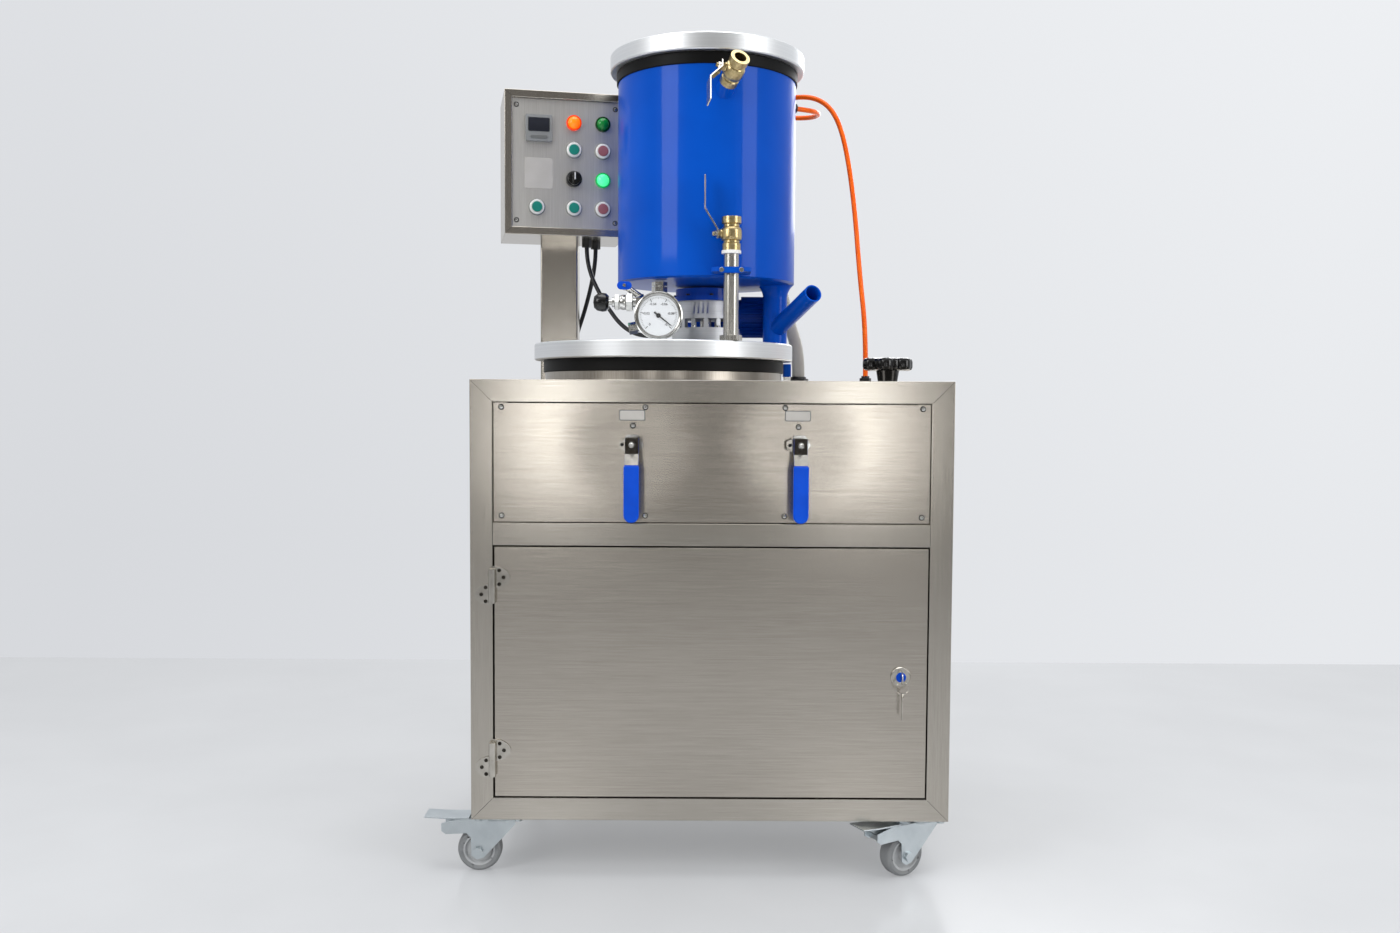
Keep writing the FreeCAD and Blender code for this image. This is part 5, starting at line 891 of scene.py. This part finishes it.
# %% [markdown]
# ## Bolts and nuts
#
# The relief valve on the gauge's manifold is a row of turned and hexagonal parts along X. The
# bearing housing has a fin between each pair of slots and bolts round its foot and its top.

# %% Bolts and nuts
LID_TOP = corners("vessel_lid")[1].z
RELIEF = centre("relief_knob")
RELIEF_BODY = [(9.0, 0.0), (13.4, 0.0), (14.4, 1.5), (14.4, 8.0), (13.2, 10.0), (13.2, 12.0), (9.0, 12.0)]
HOUSING_FINS, FIN_R, HOUSING_WAIST = 14, 52.2, 33.0
BOLT_CIRCLE_R = 61.5
GEAR_FLANGE_Z = 1069.0


def socket_bolt(name, place, node, radius, height, material):
    """A socket head cap screw: rounded head with a round well for the key."""
    well, brim = 0.35 * height, 0.97 * height
    profile = [(0.0, well), (0.5 * radius, well), (0.5 * radius, brim), (0.56 * radius, height),
               (0.88 * radius, height), (radius, 0.9 * height), (radius, 0.0)]
    make(name, turned_mesh(profile, 28), place, material, node)


def hex_nut(name, place, across, height, node):
    """A nut whose corners are drawn in a little at both ends."""
    work = bmesh.new()
    corner_r = across / math.sqrt(3)
    rings = [[work.verts.new((x, y, z)) for x, y in ring_points(corner_r * share, 6, 30)]
             for share, z in ((0.9, 0.0), (1.0, 0.1 * height), (1.0, 0.9 * height), (0.9, height))]
    make(name, loft(work, rings), place, polished_steel, node)


def on_relief(x):
    """A place on the relief valve's axis, where a shape grows towards -X."""
    return at(x, RELIEF.y, RELIEF.z) @ Matrix.Rotation(-math.pi / 2, 4, "Y")


hex_nut("relief_union_nut", on_relief(-150), 32, 14, "gauge_manifold")
hex_nut("relief_bonnet_nut", on_relief(-176), 28, 9, "gauge_manifold")
make("relief_body_ring", turned_mesh(RELIEF_BODY + RELIEF_BODY[:1], 40), on_relief(-163), polished_steel,
     "gauge_manifold")
for i in range(HOUSING_FINS):
    turn = Matrix.Rotation(2 * math.pi * (i + 0.5) / HOUSING_FINS, 4, "Z")
    place = at(TANK_X, 0, 0) @ turn @ at(FIN_R, 0, LID_TOP + HOUSING_WAIST)
    make("lantern_fin_%d" % i, slab_mesh(9.0, 3.6, 18.0, 0.0, 0.3), place, housing_metal, "bearing_housing")
for i, (x, y) in enumerate(ring_points(BOLT_CIRCLE_R, 8, 22.5)):
    place = at(TANK_X + x, y, LID_TOP + HOUSING_WAIST)
    socket_bolt("housing_foot_bolt_%d" % i, place, "bearing_housing", 4.0, 4.0, polished_steel)
for i, (x, y) in enumerate(ring_points(BOLT_CIRCLE_R, 8, 10)):
    place = at(TANK_X + x, y, GEAR_FLANGE_Z)
    if y < 10:
        socket_bolt("gear_flange_bolt_%d" % i, place, "gear_motor", 3.4, 3.6, dark_steel)
print("bolts and nuts placed")

# %% [markdown]
# ## Welds, clamp and stop plates
#
# A weld bead is a ring of overlapping ripples. Behind each front handle is the plate with two
# stops that the handle turns against, and the spindle's rounded end shows in the strap.

# %% Welds, clamp and stop plates
LEG_X, LEG_R = 127.0, 24.5
NECK_R = 235.6
DECK_Z = corners("deck")[1].z
CLAMP_Z = 1101.0
CLAMP_X = centre("riser_pipe").x
CLAMP_Y = corners("tank")[0].y + 0.5
STOP_Y = PANEL_Y - 15.3
STEM_END_Y = PANEL_Y - 40.0
BLOCK_X, BLOCK_Y = 156.0, 60.0
BLOCK_HEIGHT, FOOT_HEIGHT = 26.0, 14.0
STOP_HALF = [(-24.0, -6.0), (-20.0, -9.5), (-8.0, -12.5), (8.0, -12.5), (12.5, -6.0)]
STOP_PLATE = STOP_HALF + [(x, -y) for x, y in reversed(STOP_HALF)]
STOP_HOLE_SHADE = [(0.0, 0.06), (3.2, 0.06), (3.2, 0.0)]
STEM_END = [(0.0, 5.2), (2.6, 4.6), (4.0, 3.0), (4.2, 0.0)]


def weld_bead(name, place, radius, bead, material, node, lobes=90):
    """A ring of overlapping weld ripples about a vertical axis."""
    work = bmesh.new()
    rings = []
    for i, (x, y) in enumerate(ring_points(1.0, lobes * 2)):
        section = ring_points(bead * (1.0 if i % 2 else 0.82), 8)
        rings.append([work.verts.new((x * (radius + out), y * (radius + out), up)) for out, up in section])
    make(name, loft(work, rings, closed=True), place, material, node)


weld_bead("leg_foot_weld", at(LEG_X, 0, LID_TOP + 1.2), LEG_R, 2.2, blue_enamel, "tank")
weld_bead("vessel_neck_weld", at(VESSEL_X, 0, DECK_Z + 0.6), NECK_R, 1.6, nickel, "vessel", 420)
clamp_bar = slab_mesh(44, 11, 3.0, 2.0, 0.8)
make("clamp_front_bar", clamp_bar, on_front(CLAMP_X, CLAMP_Y, CLAMP_Z), blue_enamel, "tank")
for side, sx in (("left", -1), ("right", 1)):
    hex_nut(side + "_clamp_bolt", on_front(CLAMP_X + sx * 18, CLAMP_Y - 2.8, CLAMP_Z), 8, 3.5, "tank")
for side, x in zip(("left", "right"), VALVE_X):
    plate_place = on_front(x, STOP_Y, VALVE_Z)
    hole_shade_place = on_front(x - 18, STOP_Y - 2, VALVE_Z)
    stem_place = on_front(x, STEM_END_Y, VALVE_Z)
    make(side + "_stop_plate", plate_mesh(STOP_PLATE, 2.0), plate_place, nickel, "front_valves")
    # A thin black disc on each stop plate is painted shade: the dark of a hole, drawn on the plate.
    make(side + "_stop_hole", turned_mesh(STOP_HOLE_SHADE, 24), hole_shade_place, seam_and_shade_black, "front_valves")
    make(side + "_stem_end", turned_mesh(STEM_END, 24), stem_place, polished_steel, side + "_valve_handle")
block, foot = slab_mesh(16, 20, BLOCK_HEIGHT, 2.0, 1.0), slab_mesh(14, 18, FOOT_HEIGHT, 1.0, 0.5)
make("lid_stop_block", block, at(BLOCK_X, BLOCK_Y, DECK_Z + FOOT_HEIGHT), blue_enamel, "vessel")
make("lid_stop_foot", foot, at(BLOCK_X, BLOCK_Y, DECK_Z), polished_steel, "deck")
print("welds, clamp and stop plates placed")

# %% [markdown]
# ## Hoses and cables
#
# Four flexible lines cross the open space: the orange air line with one loose loop behind the
# tank, the thick braided vacuum hose, and the two cables below the control box. Each follows one
# smooth curve through the same points as the imported model.

# %% Hoses and cables
AIR_HOSE = [
    (171.2, 84.9, 1462.0), (197.5, 97.2, 1462.0), (217.0, 121.0, 1464.0), (227.0, 162.0, 1467.0),
    (209.0, 205.0, 1471.0), (166.0, 223.0, 1475.0), (123.0, 205.0, 1479.0), (105.0, 162.0, 1483.0),
    (123.0, 119.0, 1487.0), (166.0, 101.0, 1489.0), (207.0, 85.0, 1486.0), (240.0, 72.0, 1464.0),
    (262.0, 60.0, 1418.0), (277.0, 44.0, 1340.0), (288.0, 26.0, 1240.0), (296.0, 10.0, 1122.0),
    (308.0, -8.0, 1000.0), (308.0, -8.0, 915.0)]
VACUUM_HOSE = [(146.0, 133.0, 1104.0), (160.0, 125.0, 1040.0), (184.0, 112.0, 970.0), (184.0, 112.0, 915.0)]
POWER_CABLE = [(-246.0, 180.0, 1186.0), (-246.0, 180.0, 1150.0), (-272.0, 238.0, 1065.0),
               (-300.0, 238.0, 985.0), (-300.0, 238.0, 915.0)]
MOTOR_CABLE = [(-262.0, 150.0, 1186.0), (-262.0, 150.0, 1146.0), (-226.0, 132.0, 1072.0),
               (-178.0, 112.0, 1008.0), (-118.0, 98.0, 994.0), (-80.0, 92.0, 1016.0), (-49.0, 92.0, 1016.0)]


def route_curve(name, points):
    """A smooth open spline with the points as its control points."""
    data = bpy.data.curves.new(name, "CURVE")
    data.dimensions = "3D"
    data.resolution_u = 16
    spline = data.splines.new("NURBS")
    spline.points.add(len(points) - 1)
    for point, place in zip(spline.points, points):
        point.co = (*[v * MM for v in place], 1.0)
    spline.order_u = 3
    spline.use_endpoint_u = True
    piece = bpy.data.objects.new(name, data)
    scene.collection.objects.link(piece)
    return piece


def line_of(curve):
    """The points of a curve's own line, read from the evaluated spline without any bevel."""
    bpy.context.view_layer.update()
    mesh = bpy.data.meshes.new_from_object(curve.evaluated_get(bpy.context.evaluated_depsgraph_get()))
    return [v.co.copy() for v in mesh.vertices]


def length_of(points):
    return sum((b - a).length for a, b in zip(points, points[1:]))


def declare_cord(piece, node, points, length, diameter, **extra):
    """Hides the imported cord, makes its dressed piece move with the cord's body and prints its length."""
    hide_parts(node)
    ride_with(piece, node)
    print("%s length %.3f m" % (node, length))


def plain_cord(node, points, diameter, material):
    curve = route_curve(node + "_line", points)
    length = length_of(line_of(curve))
    curve.data.bevel_depth = diameter / 2
    curve.data.bevel_resolution = 6
    curve.data.materials.append(material)
    declare_cord(curve, node, points, length, diameter)


plain_cord("air_hose", AIR_HOSE, 10 * MM, orange_tube)
plain_cord("power_cable", POWER_CABLE, 9 * MM, cable_black)
plain_cord("motor_cable", MOTOR_CABLE, 9 * MM, cable_black)

# %% [markdown]
# The vacuum hose has a braid of fine stainless wire over rubber. The braid has to wind round the
# hose, so this one is a mesh tube with its own UV map: U runs once round it, and V along it in
# metres. Two sets of diagonal bands that cross make the plait.

# %% Braided hose


def tube_mesh(name, line, radius, sides=40):
    """A closed tube along points, with U round it and V along it in metres."""
    work = bmesh.new()
    uv = work.loops.layers.uv.new("along")
    rings, travelled = [], [0.0]
    tangent = (line[1] - line[0]).normalized()
    across = tangent.orthogonal().normalized()
    for i, place in enumerate(line):
        ahead = line[min(i + 1, len(line) - 1)] - line[max(i - 1, 0)]
        ahead.normalize()
        across = (across - ahead * across.dot(ahead)).normalized()
        up = ahead.cross(across)
        ring = [work.verts.new(place + (across * math.cos(a) + up * math.sin(a)) * radius)
                for a in (2 * math.pi * k / sides for k in range(sides))]
        rings.append(ring)
        if i:
            travelled.append(travelled[-1] + (place - line[i - 1]).length)
    for i in range(len(rings) - 1):
        for k in range(sides):
            n = (k + 1) % sides
            face = work.faces.new((rings[i][k], rings[i][n], rings[i + 1][n], rings[i + 1][k]))
            face.smooth = True
            indices = ((k, i), (k + 1, i), (k + 1, i + 1), (k, i + 1))
            for loop, (turn_index, ring_index) in zip(face.loops, indices):
                loop[uv].uv = (turn_index / sides, travelled[ring_index])
    work.faces.new(reversed(rings[0]))
    work.faces.new(rings[-1])
    mesh = bpy.data.meshes.new(name)
    work.to_mesh(mesh)
    work.free()
    return mesh


def wire_braid(name, turns=26.0, pitch=300.0):
    """Two crossing sets of diagonal wires: turns round the hose, pitch bands in a metre of it."""
    material, tree = start_material(name)
    uv = add(tree, "ShaderNodeUVMap", uv_map="along")
    split = add(tree, "ShaderNodeSeparateXYZ", {"Vector": uv.outputs["UV"]})
    round_it = add(tree, "ShaderNodeMath", {0: split.outputs["X"], 1: turns}, operation="MULTIPLY")
    along = add(tree, "ShaderNodeMath", {0: split.outputs["Y"], 1: pitch}, operation="MULTIPLY")
    waves = []
    for sense in ("ADD", "SUBTRACT"):
        phase = add(tree, "ShaderNodeMath", {0: round_it, 1: along}, operation=sense)
        angle = add(tree, "ShaderNodeMath", {0: phase, 1: math.pi}, operation="MULTIPLY")
        wave = add(tree, "ShaderNodeMath", {0: angle}, operation="SINE")
        waves.append(add(tree, "ShaderNodeMath", {0: wave}, operation="ABSOLUTE"))
    plait = add(tree, "ShaderNodeMath", {0: waves[0], 1: waves[1]}, operation="MULTIPLY")
    normal = add(tree, "ShaderNodeBump", {"Height": plait, "Strength": 0.9, "Distance": 0.0012})
    wire_tones = ((0.08, "#8E8A84"), (0.75, "#E6E4DF"))
    finish_material(tree, {"Metallic": 0.6}, normal, plait, wire_tones, (0.5, 0.34))
    return material


route = route_curve("vacuum_route", VACUUM_HOSE)
hose_line = line_of(route)
bpy.data.objects.remove(route)
HOSE_DIAMETER = 26 * MM
hose = link("vacuum_hose_braid", tube_mesh("vacuum_hose_braid", hose_line, HOSE_DIAMETER / 2))
take_material(hose, wire_braid("stainless_wire_braid"))
declare_cord(hose, "vacuum_hose", VACUUM_HOSE, length_of(hose_line), HOSE_DIAMETER,
             path=[tuple(p) for p in hose_line])

# %% [markdown]
# ## Studio
#
# A pale floor and backdrop, a large soft light on each side and one above. The world is dim for
# lighting, but pale wherever the camera or a reflection sees it, so that metal shows a bright
# studio without being lit by it.

# %% Backdrop helpers
FLOOR_TOP = 0.0


def studio_plane(name, near_y, far_y, material):
    mesh = bpy.data.meshes.new(name)
    places = ((-6, near_y), (6, near_y), (6, far_y), (-6, far_y))
    mesh.from_pydata([(x, y, FLOOR_TOP) for x, y in places], [], [(0, 1, 2, 3)])
    piece = link(name, mesh)
    take_material(piece, material)


def backdrop(tree, direction):
    """A pale studio wall all round. What steel and chrome mirror is dimmer on the camera's side."""
    x, y, z = add(tree, "ShaderNodeSeparateXYZ", {"Vector": direction}).outputs
    across = add(tree, "ShaderNodeMapRange", {
        "Value": x, "From Min": -0.45, "From Max": 0.45, "To Max": 0.65})
    up = add(tree, "ShaderNodeMapRange", {"Value": z, "From Min": -0.1, "From Max": 0.35, "To Max": 0.35})
    tone = add(tree, "ShaderNodeMath", {0: across, 1: up}, operation="ADD")
    wall = add(tree, "ShaderNodeValToRGB", {"Fac": tone}, stops=((0.0, "#D7D9DD"), (1.0, "#EFF1F4")))
    ahead = add(tree, "ShaderNodeMapRange", {"Value": y, "From Min": -0.5, "From Max": 0.2},
                interpolation_type="SMOOTHSTEP")
    above = add(tree, "ShaderNodeMapRange", {"Value": z, "From Min": 0.3, "From Max": 0.8},
                interpolation_type="SMOOTHSTEP")
    camera_ray = add(tree, "ShaderNodeLightPath").outputs["Is Camera Ray"]
    pale = add(tree, "ShaderNodeMath", {0: ahead, 1: above}, operation="MAXIMUM")
    pale = add(tree, "ShaderNodeMath", {0: pale, 1: camera_ray}, operation="MAXIMUM")
    # A colour mix takes its two colours at inputs 6 and 7, and gives them at output 2.
    tones = {"Factor": pale, 6: colour("#7A7876"), 7: wall}
    return add(tree, "ShaderNodeMix", tones, data_type="RGBA").outputs[2]


def by_sight(tree, seen_shader, lighting_shader):
    """One shader for rays that show the surface, another for rays that light the object."""
    rays = add(tree, "ShaderNodeLightPath").outputs
    seen = rays["Is Camera Ray"]
    for kind in ("Is Glossy Ray", "Is Transmission Ray"):
        seen = add(tree, "ShaderNodeMath", {0: seen, 1: rays[kind]}, operation="MAXIMUM")
    return add(tree, "ShaderNodeMixShader", {0: seen, 1: lighting_shader, 2: seen_shader})


# %% [markdown]
# The near floor is sealed concrete with a faint sheen. A third of what the camera sees of it is
# painted light, a glow of its own tone that lifts the shadow, so that the shadow stays soft and pale.
# Past the wall line the floor takes the wall's tone, since nothing in the photograph shows a corner there.

# %% Floor
WALL_Y = 1.58
FLOOR_PAINTED_GLOW = 0.36

floor_material, tree = start_material("pale_studio_floor")
dust = add(tree, "ShaderNodeTexNoise", {"Vector": object_pattern(tree), "Scale": 3.0, "Detail": 3.0})
floor_tone = add(tree, "ShaderNodeValToRGB", {"Fac": dust}, stops=((0.3, "#C9CBCE"), (0.7, "#D0D2D5")))
sealed = add(tree, "ShaderNodeBsdfPrincipled", {"Base Color": floor_tone, "Roughness": 0.22, "IOR": 1.5})
# Painted light: for camera rays the floor glows in its own tone, which lifts the shadow under the cabinet.
painted_floor_glow = add(tree, "ShaderNodeEmission", {"Color": colour("#D9DBDE"), "Strength": 1.0})
camera_ray = add(tree, "ShaderNodeLightPath").outputs["Is Camera Ray"]
share = add(tree, "ShaderNodeMath", {0: camera_ray, 1: FLOOR_PAINTED_GLOW}, operation="MULTIPLY")
floor_with_painted_glow = add(tree, "ShaderNodeMixShader", {0: share, 1: sealed, 2: painted_floor_glow})
add(tree, "ShaderNodeOutputMaterial", {"Surface": floor_with_painted_glow})

far_material, tree = start_material("pale_far_wall_tone")
place = object_pattern(tree)
from_eye = add(tree, "ShaderNodeVectorMath", {0: place, 1: CAMERA_PLACE}, operation="SUBTRACT")
sight = add(tree, "ShaderNodeVectorMath", {0: from_eye}, operation="NORMALIZE")
glow = add(tree, "ShaderNodeEmission", {"Color": backdrop(tree, sight), "Strength": 1.0})
matt = add(tree, "ShaderNodeBsdfDiffuse", {"Color": colour("#E4E7EB"), "Roughness": 1.0})
add(tree, "ShaderNodeOutputMaterial", {"Surface": by_sight(tree, glow, matt)})
studio_plane("studio_floor", -5, WALL_Y, floor_material)
studio_plane("studio_far_floor", WALL_Y, 7, far_material)
print("the floor takes the wall's tone from y", WALL_Y)

# %% [markdown]
# The lights are area lights, the soft boxes of a studio. Large ones give soft shadows, the two
# narrow strips in front draw bright lines down the round parts, and the one behind lifts the
# object's edge from the backdrop.

# %% World and lights
world = bpy.data.worlds.new("studio")
scene.world = world
world.use_nodes = True
world.node_tree.nodes.clear()
tree = world.node_tree
toward = add(tree, "ShaderNodeTexCoord").outputs["Generated"]
shown = add(tree, "ShaderNodeBackground", {"Color": backdrop(tree, toward), "Strength": 1.0})
dim = add(tree, "ShaderNodeBackground", {"Color": colour("#FFFFFF"), "Strength": 0.6})
add(tree, "ShaderNodeOutputWorld", {"Surface": by_sight(tree, shown, dim)})

# Each light's name, place, target, size in metres and power in watts
LIGHTS = (
    ("key_left", (-2.6, -2.4, 2.4), (0, 0, 0.9), (1.4, 1.8), 50),
    ("fill_right", (2.8, -2.0, 1.8), (0, 0, 0.9), (1.2, 2.0), 35),
    ("strip_left", (-0.56, -2.6, 0.8), (-0.2, 0, 0.8), (0.22, 0.55), 2.2),
    ("strip_right", (0.56, -2.6, 0.8), (0.2, 0, 0.8), (0.22, 0.55), 2.2),
    ("top", (0, -0.4, 3.6), (0, 0, 0.9), (2.4, 2.0), 50),
    ("rim_back", (1.2, 2.8, 2.2), (0, 0, 1.0), (2.0, 1.2), 30))
for name, place, target, size, power in LIGHTS:
    data = bpy.data.lights.new(name, "AREA")
    data.shape = "RECTANGLE"
    data.size, data.size_y = size
    data.energy = power
    lamp = bpy.data.objects.new(name, data)
    scene.collection.objects.link(lamp)
    aim = (Vector(target) - Vector(place)).to_track_quat("-Z", "Y")
    lamp.matrix_world = Matrix.Translation(place) @ aim.to_matrix().to_4x4()
scene.view_settings.view_transform = "Standard"
print("lights", len(LIGHTS))
